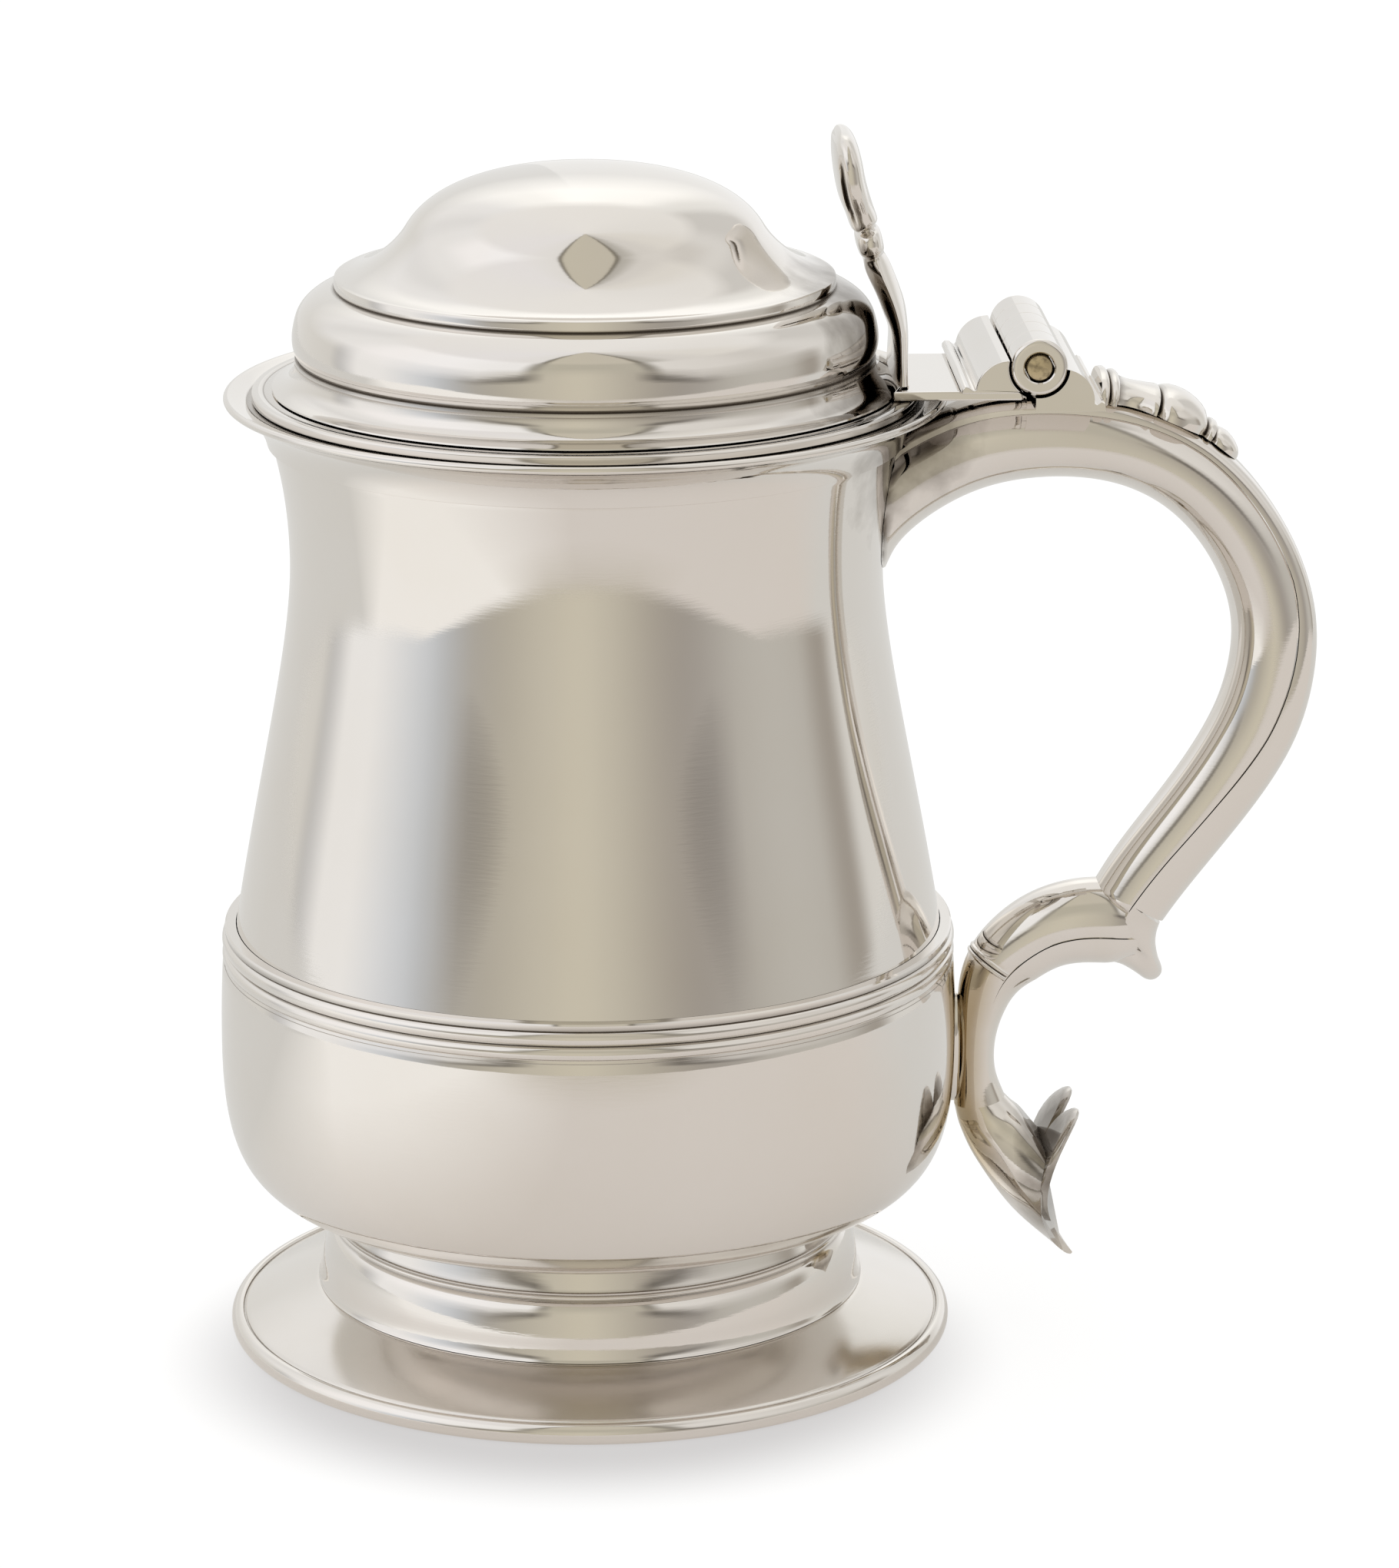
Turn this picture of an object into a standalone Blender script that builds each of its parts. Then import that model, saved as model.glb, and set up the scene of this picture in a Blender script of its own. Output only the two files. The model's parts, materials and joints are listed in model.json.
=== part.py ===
"""Lidded silver tankard of baluster shape, built as the silversmith's separate pieces.

The vessel stands on a moulded foot and carries a hollow double-scroll handle. The domed lid swings
on a five-knuckle hinge at the top of the handle. Run in Blender; units are metres and +Z is up.
"""
import bmesh
import bpy
from math import acos, asin, cos, degrees, hypot, pi, radians, sin, tau
from mathutils import Vector

MM = 0.001

# Clearances
SEAT_GAP = 0.3 * MM
PIN_CLEARANCE = 0.3 * MM
BARREL_CLEARANCE = 0.3 * MM
BEZEL_CLEARANCE = 0.9 * MM

# Foot
FOOT_RADIUS = 60.3 * MM
FOOT_WIRE_WIDTH = 4.6 * MM
FOOT_WIRE_HEIGHT = 3.5 * MM
FLANGE_RISE = 5.0 * MM
FLANGE_THICKNESS = 1.2 * MM
COLLAR_RADIUS = 46.5 * MM
COLLAR_WAIST = 43.4 * MM
COLLAR_HEIGHT = 15.4 * MM
COLLAR_WALL = 1.5 * MM

# Body
BODY_HEIGHT = 133.9 * MM
BELLY_RADIUS = 61.0 * MM
BELLY_RISE = 25.2 * MM
GIRDLE_RISE = 13.4 * MM
GIRDLE_HEIGHT = 7.4 * MM
GIRDLE_PROUD = 1.5 * MM
GIRDLE_SET_BACK = 0.5 * MM
WAIST_RADIUS = 48.3 * MM
MOUTH_RADIUS = 51.0 * MM
MOUTH_RISE = 27.0 * MM
BODY_WALL = 0.9 * MM
LIP_FLARE = 7.5 * MM
LIP_DEPTH = 7.0 * MM
LIP_EDGE = 1.0 * MM

# Lid
LID_OVERLAP = 3.0 * MM
LID_FLANGE_THICKNESS = 1.0 * MM
LID_WALL = 0.9 * MM
CAVETTO_SWEEP = 6.5 * MM
CAVETTO_HEIGHT = 4.3 * MM
OVOLO_HEIGHT = 12.0 * MM
OVOLO_SWEEP = 7.1 * MM
SKIRT_HEIGHT = 7.6 * MM
SKIRT_SWEEP = 10.4 * MM
DOME_HEIGHT = 10.4 * MM
BEZEL_DEPTH = 5.0 * MM
BEZEL_WALL = 1.0 * MM

# Hinge
HINGE_REACH = 13.3 * MM
HINGE_RISE = 7.6 * MM
BARREL_RADIUS = 4.6 * MM
BARREL_LENGTH = 38.0 * MM
PIN_RADIUS = 2.15 * MM
KNUCKLE_COUNT = 5
STRAP_THICKNESS = 1.3 * MM
STRAP_WIDTH = 31.0 * MM
BLOCK_LENGTH = 11.0 * MM
BLOCK_STEP = 1.6 * MM

# Thumbpiece
THUMB_HEIGHT = 39.6 * MM
THUMB_LEAN = 11.0 * MM
THUMB_PLATE = 1.8 * MM
THUMB_LEG = 3.3 * MM
THUMB_FOLD = 1.15 * MM
THUMB_WIDTH = 21.0 * MM
THUMB_BASE_WIDTH = 26.0 * MM
THUMB_WAIST_WIDTH = 10.0 * MM

# Handle
HANDLE_REACH = 120.1 * MM
HANDLE_THICKNESS = 13.6 * MM
HANDLE_WIDTH = 15.6 * MM
HANDLE_WALL = 1.1 * MM
STRIP_PROUD = 0.35 * MM
HANDLE_BELOW_LIP = 0.8 * MM
ROOT_SINK = 4.5 * MM
ROOT_DROP = 14.5 * MM
CREST_REACH = 5.0 * MM
SCROLL_TURN = 34.0 * MM
SCROLL_RETURN = 21.8 * MM
SCROLL_END_RISE = 8.6 * MM
LOWER_REACH = 10.2 * MM
LOWER_THICKNESS = 12.6 * MM
LOWER_WIDTH = 12.6 * MM
PAD_THICKNESS = 0.6 * MM
PAD_HEIGHT = 19.0 * MM
PAD_WIDTH = 6.4 * MM
SPUR_LENGTH = 17.0 * MM
COLLAR_BAND_LENGTH = 2.6 * MM
COLLAR_BAND_PROUD = 0.7 * MM
HEART_WIDTH = 23.0 * MM
HEART_HEIGHT = 27.0 * MM
HEART_HOLLOW = 3.4 * MM
HEART_PLATE = 1.2 * MM
HEART_REACH = 15.2 * MM
HEART_DROP = 14.2 * MM
DROP_LENGTH = 30.0 * MM
DROP_WIDTH = 17.0 * MM
DROP_HEIGHT = 4.2 * MM

# Facets
TURN_STEPS = 36
TUBE_STEPS = 20
HEART_STEPS = 24
PAD_STEPS = 20
UPPER_STEPS = 4
LOWER_STEPS = 3

# Radii and heights worked out from the driving dimensions
LIP_RADIUS = MOUTH_RADIUS + LIP_FLARE
LID_FLANGE_RADIUS = MOUTH_RADIUS + LID_OVERLAP
OVOLO_RADIUS = LID_FLANGE_RADIUS - CAVETTO_SWEEP
SKIRT_RADIUS = OVOLO_RADIUS - OVOLO_SWEEP
DOME_RADIUS = SKIRT_RADIUS - SKIRT_SWEEP
FLANGE_TOP = FOOT_WIRE_HEIGHT + FLANGE_RISE
COLLAR_TOP = FLANGE_TOP + SEAT_GAP + COLLAR_HEIGHT
BODY_BOTTOM = COLLAR_TOP + SEAT_GAP
BELLY_Z = BODY_BOTTOM + BELLY_RISE
GIRDLE_BOTTOM = BELLY_Z + GIRDLE_RISE
GIRDLE_MIDDLE = GIRDLE_BOTTOM + GIRDLE_HEIGHT / 2
GIRDLE_RADIUS = BELLY_RADIUS - GIRDLE_SET_BACK
MOUTH_Z = BODY_BOTTOM + BODY_HEIGHT
WAIST_Z = MOUTH_Z - MOUTH_RISE
WAIST_RISE = WAIST_Z - GIRDLE_MIDDLE
LIP_TOP = MOUTH_Z + LIP_EDGE
LID_SEAT = MOUTH_Z + SEAT_GAP
FLANGE_UPPER = LID_SEAT + SEAT_GAP + LID_FLANGE_THICKNESS
LID_BASE = FLANGE_UPPER + SEAT_GAP
HINGE_X = LIP_RADIUS + HINGE_REACH
HINGE_Z = MOUTH_Z + HINGE_RISE
STRAP_TOP = LID_BASE + STRAP_THICKNESS
HANDLE_TOP = LIP_TOP - HANDLE_BELOW_LIP
APEX_Z = HANDLE_TOP - HANDLE_THICKNESS / 2
BARREL_SPACE = BARREL_RADIUS + BARREL_CLEARANCE


def clear_scene():
    """Remove every object of the scene."""
    for scene_object in list(bpy.data.objects):
        bpy.data.objects.remove(scene_object, do_unlink=True)


def new_collection(name):
    """Make a collection in the scene and return it."""
    collection = bpy.data.collections.new(name)
    bpy.context.scene.collection.children.link(collection)
    return collection


def metal(name, colour, roughness):
    """Return a polished metal material."""
    finish = bpy.data.materials.new(name)
    finish.use_nodes = True
    shader = finish.node_tree.nodes["Principled BSDF"]
    shader.inputs["Base Color"].default_value = (*colour, 1.0)
    shader.inputs["Roughness"].default_value = roughness
    shader.inputs["Metallic"].default_value = 1.0
    finish.diffuse_color = (*colour, 1.0)
    return finish


def bezier(start, pull_start, pull_end, end, steps):
    """Return the points of a cubic curve, both ends included."""
    points = []
    for i in range(steps + 1):
        t = i / steps
        s = 1 - t
        weights = (s ** 3, 3 * s * s * t, 3 * s * t * t, t ** 3)
        corners = (start, pull_start, pull_end, end)
        points.append(tuple(sum(w * c[k] for w, c in zip(weights, corners)) for k in range(2)))
    return points


def arc(centre, radius, start, end, steps):
    """Return the points of a circular arc between two angles in degrees."""
    points = []
    for i in range(steps + 1):
        angle = radians(start + (end - start) * i / steps)
        points.append((centre[0] + radius * cos(angle), centre[1] + radius * sin(angle)))
    return points


def smooth_path(knots, steps):
    """Return a smooth curve through knots of any size, with steps points to each stretch."""
    ends = [tuple(2 * a - b for a, b in zip(knots[0], knots[1]))]
    ends += list(knots) + [tuple(2 * a - b for a, b in zip(knots[-1], knots[-2]))]
    path = []
    for before, start, end, after in zip(ends, ends[1:], ends[2:], ends[3:]):
        for i in range(steps):
            t = i / steps
            path.append(tuple(
                0.5 * (2 * b + (c - a) * t + (2 * a - 5 * b + 4 * c - d) * t * t
                       + (3 * b - a - 3 * c + d) * t ** 3)
                for a, b, c, d in zip(before, start, end, after)))
    path.append(tuple(knots[-1]))
    return path


def offset_outline(points, distance):
    """Move an open outline sideways, to the left of its direction."""
    moved = []
    for i, point in enumerate(points):
        before = points[max(i - 1, 0)]
        after = points[min(i + 1, len(points) - 1)]
        along = Vector((after[0] - before[0], after[1] - before[1])).normalized()
        moved.append((point[0] - along.y * distance, point[1] + along.x * distance))
    return moved


def add_object(name, data, collection, parent=None, finish=None):
    """Put an object into a collection, under its parent and with its finish."""
    piece = bpy.data.objects.new(name, data)
    collection.objects.link(piece)
    piece.parent = parent
    if finish:
        data.materials.append(finish)
    return piece


def shade(mesh):
    """Shade a mesh smooth, with its corners kept sharp."""
    mesh.shade_smooth()
    mesh.set_sharp_from_angle(angle=radians(35))


def turned(name, outline, collection, parent=None, finish=None):
    """Turn an outline of (radius, height) points round the upright axis."""
    closed = outline[0][0] > 0 or outline[-1][0] > 0
    mesh = bpy.data.meshes.new(name)
    edges = [(i, i + 1) for i in range(len(outline) - 1)]
    if closed:
        edges.append((len(outline) - 1, 0))
    mesh.from_pydata([(r, 0, z) for r, z in outline], edges, [])
    piece = add_object(name, mesh, collection, parent, finish)
    screw = piece.modifiers.new("Turn", 'SCREW')
    screw.axis = 'Z'
    screw.angle = tau
    screw.steps = TURN_STEPS
    screw.render_steps = TURN_STEPS
    screw.use_merge_vertices = True
    screw.merge_threshold = 0.000001
    screw.use_smooth_shade = True
    return piece


def lofted(name, rings, collection, parent=None, finish=None):
    """Skin a row of rings that have the same number of points, and close both ends."""
    builder = bmesh.new()
    loops = [[builder.verts.new(point) for point in ring] for ring in rings]
    count = len(loops[0])
    for lower, upper in zip(loops, loops[1:]):
        for i in range(count):
            k = (i + 1) % count
            builder.faces.new((lower[i], lower[k], upper[k], upper[i]))
    builder.faces.new(loops[0])
    builder.faces.new(loops[-1])
    bmesh.ops.recalc_face_normals(builder, faces=builder.faces)
    mesh = bpy.data.meshes.new(name)
    builder.to_mesh(mesh)
    builder.free()
    shade(mesh)
    return add_object(name, mesh, collection, parent, finish)


def extruded(name, outline, width, collection, parent=None, finish=None):
    """Extrude an outline of (x, z) points to both sides of the middle plane."""
    flat = bpy.data.curves.new(name, 'CURVE')
    flat.dimensions = '2D'
    flat.fill_mode = 'BOTH'
    flat.extrude = width / 2
    spline = flat.splines.new('POLY')
    spline.points.add(len(outline) - 1)
    for point, (x, z) in zip(spline.points, outline):
        point.co = (x, z, 0, 1)
    spline.use_cyclic_u = True
    guide = bpy.data.objects.new(name, flat)
    guide.rotation_euler = (pi / 2, 0, 0)
    bpy.context.scene.collection.objects.link(guide)
    return curve_to_mesh(guide, name, collection, parent, finish)


def curve_to_mesh(guide, name, collection, parent, finish):
    """Replace a curve object by a closed mesh object in the same place."""
    bpy.context.view_layer.update()
    graph = bpy.context.evaluated_depsgraph_get()
    mesh = bpy.data.meshes.new_from_object(guide.evaluated_get(graph))
    mesh.transform(guide.matrix_world)
    bpy.data.objects.remove(guide, do_unlink=True)
    builder = bmesh.new()
    builder.from_mesh(mesh)
    bmesh.ops.remove_doubles(builder, verts=builder.verts, dist=0.000001)
    bmesh.ops.recalc_face_normals(builder, faces=builder.faces)
    builder.to_mesh(mesh)
    builder.free()
    mesh.name = name
    mesh.materials.clear()
    shade(mesh)
    return add_object(name, mesh, collection, parent, finish)


def make_cutter(cutter):
    """Mark an object as a guide that is not itself a piece."""
    cutter.hide_render = True
    cutter.display_type = 'WIRE'
    return cutter


def combine(piece, cutter, operation='DIFFERENCE'):
    """Cut a piece with a cutter, or keep what the two share."""
    boolean = piece.modifiers.new(cutter.name, 'BOOLEAN')
    boolean.operation = operation
    boolean.solver = 'EXACT'
    boolean.object = cutter


def body_outline():
    """Return the outer outline of the body, from the middle of its bottom up to the mouth."""
    foot_seat = COLLAR_WAIST + COLLAR_WALL / 2
    outline = [(0, BODY_BOTTOM + 1.5 * MM), (foot_seat * 0.7, BODY_BOTTOM + 0.5 * MM)]
    outline += bezier((foot_seat, BODY_BOTTOM), (BELLY_RADIUS * 0.92, BODY_BOTTOM + 1.2 * MM),
                      (BELLY_RADIUS, BELLY_Z - BELLY_RISE * 0.8), (BELLY_RADIUS, BELLY_Z), 6)
    behind_girdle = BELLY_RADIUS - GIRDLE_PROUD
    outline.append((BELLY_RADIUS - 0.2 * MM, BELLY_Z + GIRDLE_RISE * 0.6))
    outline.append((behind_girdle, GIRDLE_BOTTOM + GIRDLE_HEIGHT * 0.15))
    slope = WAIST_RISE * 0.44
    outline += bezier((behind_girdle - 0.7 * MM, GIRDLE_MIDDLE),
                      (behind_girdle - 5.2 * MM, GIRDLE_MIDDLE + slope),
                      (WAIST_RADIUS, WAIST_Z - WAIST_RISE * 0.22), (WAIST_RADIUS, WAIST_Z), 5)
    neck_z = MOUTH_Z - LIP_DEPTH
    neck = neck_z - WAIST_Z
    outline += bezier((WAIST_RADIUS, WAIST_Z), (WAIST_RADIUS, WAIST_Z + neck * 0.45),
                      (MOUTH_RADIUS - 1.4 * MM, neck_z - neck * 0.25),
                      (MOUTH_RADIUS - 0.2 * MM, neck_z), 3)[1:]
    outline.append((MOUTH_RADIUS, MOUTH_Z - SEAT_GAP))
    return outline


def lip_underside():
    """Return the flared underside of the lip, from the body out to its edge."""
    inner = MOUTH_RADIUS + SEAT_GAP
    low = MOUTH_Z - LIP_DEPTH
    return bezier((inner + 0.5 * MM, low), (inner + 1.4 * MM, low + LIP_DEPTH * 0.5),
                  (LIP_RADIUS - 2.0 * MM, MOUTH_Z - 1.4 * MM), (LIP_RADIUS, MOUTH_Z - 0.2 * MM), 4)


def envelope(name, gap, collection):
    """Make a cutter as large as the body and its lip with a gap round them."""
    outline = body_outline()[2:-2]
    shell = offset_outline(outline, -gap)
    flare = offset_outline(lip_underside(), -gap)
    top = LIP_TOP + gap
    climb = [(0, shell[0][1])] + shell + flare + [(LIP_RADIUS + gap, top), (0, top)]
    return make_cutter(turned(name, climb[::-1], collection))


def body_shell(parts, parent, finish):
    """Make the raised body with its even wall, open at the mouth."""
    outside = body_outline()
    inside = offset_outline(outside, BODY_WALL)
    inside[0] = (0, inside[0][1])
    inside[-1] = (inside[-1][0], outside[-1][1])
    return turned("body_shell", outside[::-1] + inside[::2], parts, parent, finish)


def lip_moulding(parts, parent, finish):
    """Make the everted lip that is soldered round the mouth."""
    inner = MOUTH_RADIUS + SEAT_GAP
    crest = [(inner, MOUTH_Z), (LID_FLANGE_RADIUS + 0.6 * MM, MOUTH_Z), (LIP_RADIUS - 0.9 * MM, LIP_TOP),
             (LIP_RADIUS - 0.2 * MM, LIP_TOP - 0.3 * MM)]
    return turned("lip_moulding", crest + lip_underside()[::-1] + [(inner, MOUTH_Z - LIP_DEPTH)],
                  parts, parent, finish)


def body_radius(height):
    """Return the outer radius of the body at a height."""
    outline = body_outline()
    for (r_low, low), (r_high, high) in zip(outline, outline[1:]):
        if low <= height <= high:
            return r_low + (r_high - r_low) * (height - low) / (high - low)
    return MOUTH_RADIUS


def girdle_band(parts, parent, finish):
    """Make the band round the belly: two beads between two fillets, seated on the body."""
    low = GIRDLE_BOTTOM
    high = GIRDLE_BOTTOM + GIRDLE_HEIGHT
    bead = GIRDLE_HEIGHT * 0.35
    fillet = GIRDLE_HEIGHT * 0.15
    groove = GIRDLE_RADIUS - 0.6 * MM
    outline = [(groove, high)]
    for top in (high - fillet, high - fillet - bead):
        outline += [(groove, top), (GIRDLE_RADIUS, top - bead * 0.3), (GIRDLE_RADIUS, top - bead * 0.7)]
    outline += [(groove, low + fillet), (GIRDLE_RADIUS - 0.2 * MM, low)]
    seat = [low] + [z for _, z in body_outline() if low < z < high] + [high]
    outline += [(body_radius(z) + SEAT_GAP, z) for z in seat]
    return turned("girdle_band", outline, parts, parent, finish)


def foot_collar(parts, parent, finish):
    """Make the stepped collar between the body and the foot."""
    low = FLANGE_TOP + SEAT_GAP
    neck = COLLAR_WAIST
    swell = COLLAR_RADIUS - 0.9 * MM
    outline = [(neck + 1.4 * MM, COLLAR_TOP)]
    outline += bezier((neck + 1.6 * MM, COLLAR_TOP - 0.8 * MM), (neck + 0.2 * MM, COLLAR_TOP - 1.6 * MM),
                      (neck, COLLAR_TOP - 2.6 * MM), (neck, COLLAR_TOP - 3.8 * MM), 2)
    outline += [(neck + 0.8 * MM, COLLAR_TOP - 4.4 * MM), (neck + 0.8 * MM, COLLAR_TOP - 5.4 * MM)]
    outline += bezier((neck + 0.3 * MM, COLLAR_TOP - 6.0 * MM),
                      (swell + 0.9 * MM, low + COLLAR_HEIGHT * 0.55),
                      (swell + 0.9 * MM, low + COLLAR_HEIGHT * 0.3), (swell - 0.9 * MM, low + 1.7 * MM), 4)
    outline += [(COLLAR_RADIUS, low + 1.3 * MM), (COLLAR_RADIUS, low)]
    bore = neck - COLLAR_WALL
    outline += [(bore, low), (bore, COLLAR_TOP)]
    return turned("foot_collar", outline, parts, parent, finish)


def foot_flange(parts, parent, finish):
    """Make the spreading foot as a hollow sheet that ends on its wire."""
    edge = FOOT_RADIUS - FOOT_WIRE_WIDTH * 0.45
    low = FOOT_WIRE_HEIGHT + SEAT_GAP
    top = FLANGE_TOP
    inner = COLLAR_WAIST - COLLAR_WALL
    sweep = bezier((COLLAR_RADIUS + 0.6 * MM, top), (COLLAR_RADIUS + 1.6 * MM, top - FLANGE_RISE * 0.55),
                   (edge - 7.0 * MM, low + FLANGE_THICKNESS), (edge, low + FLANGE_THICKNESS * 0.75), 4)
    under = bezier((edge - 2.0 * MM, low), (edge - 8.0 * MM, low),
                   (COLLAR_RADIUS + 0.2 * MM, top - FLANGE_RISE * 0.7),
                   (COLLAR_RADIUS - 1.0 * MM, top - FLANGE_THICKNESS), 3)
    outline = [(inner, top)] + sweep + [(edge, low)] + under + [(inner, top - FLANGE_THICKNESS)]
    return turned("foot_flange", outline, parts, parent, finish)


def foot_wire(parts, parent, finish):
    """Make the moulded wire that the tankard stands on."""
    inner = FOOT_RADIUS - FOOT_WIRE_WIDTH
    bulge = (FOOT_RADIUS - FOOT_WIRE_HEIGHT * 0.36, FOOT_WIRE_HEIGHT * 0.64)
    outline = [(inner, FOOT_WIRE_HEIGHT)]
    outline += arc(bulge, FOOT_WIRE_HEIGHT * 0.36, 90, -50, 4)
    outline += [(FOOT_RADIUS - 0.3 * MM, FOOT_WIRE_HEIGHT * 0.25), (FOOT_RADIUS - 0.3 * MM, 0), (inner, 0)]
    return turned("foot_wire", outline, parts, parent, finish)


def lid_outline():
    """Return the outer outline of the lid cover, from the middle of its dome down to its base."""
    ovolo_low = LID_BASE + CAVETTO_HEIGHT
    step_z = ovolo_low + OVOLO_HEIGHT
    dome_z = step_z + SKIRT_HEIGHT
    crown = dome_z + DOME_HEIGHT
    outline = bezier((0, crown), (DOME_RADIUS * 0.88, crown),
                     (DOME_RADIUS - 2.0 * MM, dome_z + DOME_HEIGHT * 0.43), (DOME_RADIUS, dome_z), 6)
    outline += bezier((DOME_RADIUS, dome_z), (DOME_RADIUS + 2.0 * MM, dome_z - SKIRT_HEIGHT * 0.37),
                      (SKIRT_RADIUS - 3.8 * MM, step_z + SKIRT_HEIGHT * 0.2), (SKIRT_RADIUS, step_z), 3)[1:]
    outline += bezier((SKIRT_RADIUS + 0.3 * MM, step_z - 0.8 * MM),
                      (OVOLO_RADIUS - 1.0 * MM, step_z - 1.5 * MM),
                      (OVOLO_RADIUS + 1.1 * MM, ovolo_low + OVOLO_HEIGHT * 0.36),
                      (OVOLO_RADIUS - 1.0 * MM, ovolo_low + 0.8 * MM), 5)
    outline.append((OVOLO_RADIUS - 0.4 * MM, ovolo_low + 0.6 * MM))
    outline += bezier((OVOLO_RADIUS - 0.4 * MM, ovolo_low),
                      (OVOLO_RADIUS - 0.2 * MM, LID_BASE + CAVETTO_HEIGHT * 0.4),
                      (OVOLO_RADIUS + 0.8 * MM, LID_BASE + 0.6 * MM),
                      (LID_FLANGE_RADIUS - 3.2 * MM, LID_BASE), 3)
    return outline


def lid_cover(parts, parent, finish):
    """Make the raised cover with its dome, skirt, ovolo and cavetto."""
    outside = lid_outline()
    inside = offset_outline(outside, -LID_WALL)
    inside[0] = (0, inside[0][1])
    bore = OVOLO_RADIUS - 0.4 * MM - LID_WALL
    wall = [point for point in inside if point[1] > LID_BASE + CAVETTO_HEIGHT + 1.0 * MM]
    wall = wall[:-1:2] + [(bore - 0.6 * MM, LID_BASE + CAVETTO_HEIGHT), (bore - 0.6 * MM, LID_BASE)]
    return turned("lid_cover", outside + wall[::-1], parts, parent, finish)


def lid_flange(parts, parent, finish):
    """Make the flat ring that lies on the lip."""
    low = LID_SEAT + SEAT_GAP
    inner = OVOLO_RADIUS - 2.0 * MM - LID_WALL
    outline = [(inner, FLANGE_UPPER), (LID_FLANGE_RADIUS - 0.3 * MM, FLANGE_UPPER),
               (LID_FLANGE_RADIUS, FLANGE_UPPER - 0.3 * MM), (LID_FLANGE_RADIUS, low), (inner, low)]
    return turned("lid_flange", outline, parts, parent, finish)


def lid_bezel(parts, parent, finish):
    """Make the ring that drops into the mouth and centres the lid."""
    outer = MOUTH_RADIUS - BODY_WALL - BEZEL_CLEARANCE
    top = LID_SEAT
    inner = outer - BEZEL_WALL
    outline = [(inner, top), (outer, top), (outer, top - BEZEL_DEPTH), (inner, top - BEZEL_DEPTH)]
    return turned("lid_bezel", outline, parts, parent, finish)


def lid_strap(parts, cutters, parent, finish):
    """Make the strap from the lid to the hinge, shaped round the cover's foot."""
    reach = HINGE_X - 2.3 * MM
    start = OVOLO_RADIUS - 2.0 * MM
    outline = [(start, LID_BASE), (reach, LID_BASE), (reach, STRAP_TOP), (start, STRAP_TOP)]
    strap = extruded("lid_strap", outline, STRAP_WIDTH, parts, parent, finish)
    foot = LID_FLANGE_RADIUS - 3.2 * MM + SEAT_GAP
    ring = [(0, STRAP_TOP + SEAT_GAP), (foot, STRAP_TOP + SEAT_GAP), (foot, LID_BASE - SEAT_GAP),
            (0, LID_BASE - SEAT_GAP)]
    combine(strap, make_cutter(turned("lid_foot_space", ring, cutters)))
    return strap


def lid_hinge_block(parts, parent, finish):
    """Make the moulded block on the strap, hollowed round the hinge barrel."""
    low = STRAP_TOP + SEAT_GAP
    drop = HINGE_Z - low
    left = HINGE_X - BLOCK_LENGTH
    round_radius = drop * 0.98
    end = 360 - degrees(acos(-min(BLOCK_STEP, drop) / BARREL_SPACE))
    ledge = low + BLOCK_STEP * 0.6
    outline = [(left - BLOCK_STEP, low), (left - BLOCK_STEP, ledge), (left - BLOCK_STEP * 0.1, ledge)]
    outline += arc((left + round_radius, ledge), round_radius, 180, 90, 5)
    outline += arc((HINGE_X, HINGE_Z), BARREL_SPACE, 168, end, 8)
    outline.append((HINGE_X - BLOCK_STEP, low))
    return extruded("lid_hinge_block", outline, BARREL_LENGTH, parts, parent, finish)


def hinge_bed(parts, parent, finish):
    """Make the moulded block on the handle, hollowed round the hinge barrel."""
    low = HANDLE_TOP + SEAT_GAP
    drop = HINGE_Z - low
    right = HINGE_X + BLOCK_LENGTH - BLOCK_STEP * 1.1
    round_radius = drop * 0.72
    outline = [(right + BLOCK_STEP, low), (right + BLOCK_STEP, low + BLOCK_STEP)]
    outline.append((right + BLOCK_STEP * 0.1, low + BLOCK_STEP * 1.1))
    outline += arc((right - round_radius, low + drop * 0.25), round_radius, 0, 80, 5)
    outline += arc((HINGE_X, HINGE_Z), BARREL_SPACE, 6, -96, 9)
    outline.append((HINGE_X - BLOCK_STEP * 0.3, low))
    return extruded("hinge_bed", outline[::-1], BARREL_LENGTH, parts, parent, finish)


def tube(name, outer, inner, low, high, parts, parent, finish):
    """Make a tube or, with no bore, a rod that lies along Y with its origin on the hinge axis."""
    if inner:
        outline = [(outer, high), (outer, low), (inner, low), (inner, high)]
    else:
        outline = [(0, high), (outer, high), (outer, low), (0, low)]
    piece = turned(name, outline, parts, parent, finish)
    piece.modifiers["Turn"].steps = TUBE_STEPS
    piece.modifiers["Turn"].render_steps = TUBE_STEPS
    piece.rotation_euler = (-pi / 2, 0, 0)
    return piece


def hinge_tubes(parts, hinge, lid, silver, brass):
    """Make the knuckles, which belong by turns to the handle and the lid, and the pin through them."""
    pitch = BARREL_LENGTH / KNUCKLE_COUNT
    bore = PIN_RADIUS + PIN_CLEARANCE
    for i in range(KNUCKLE_COUNT):
        low = -BARREL_LENGTH / 2 + pitch * i + SEAT_GAP / 2
        owner, label = ((hinge, "handle"), (lid, "lid"))[i % 2]
        tube(f"{label}_knuckle_{i // 2 + 1}", BARREL_RADIUS, bore, low, low + pitch - SEAT_GAP,
             parts, owner, silver)
    tube("hinge_pin", PIN_RADIUS, 0, -BARREL_LENGTH / 2, BARREL_LENGTH / 2, parts, hinge, brass)


def frames(path):
    """Return each point of a path in the XZ plane with its left-hand normal."""
    stations = []
    for i, point in enumerate(path):
        before = path[max(i - 1, 0)]
        after = path[min(i + 1, len(path) - 1)]
        length = hypot(after[0] - before[0], after[1] - before[1])
        normal = (-(after[1] - before[1]) / length, (after[0] - before[0]) / length)
        stations.append((point, normal))
    return stations


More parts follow.
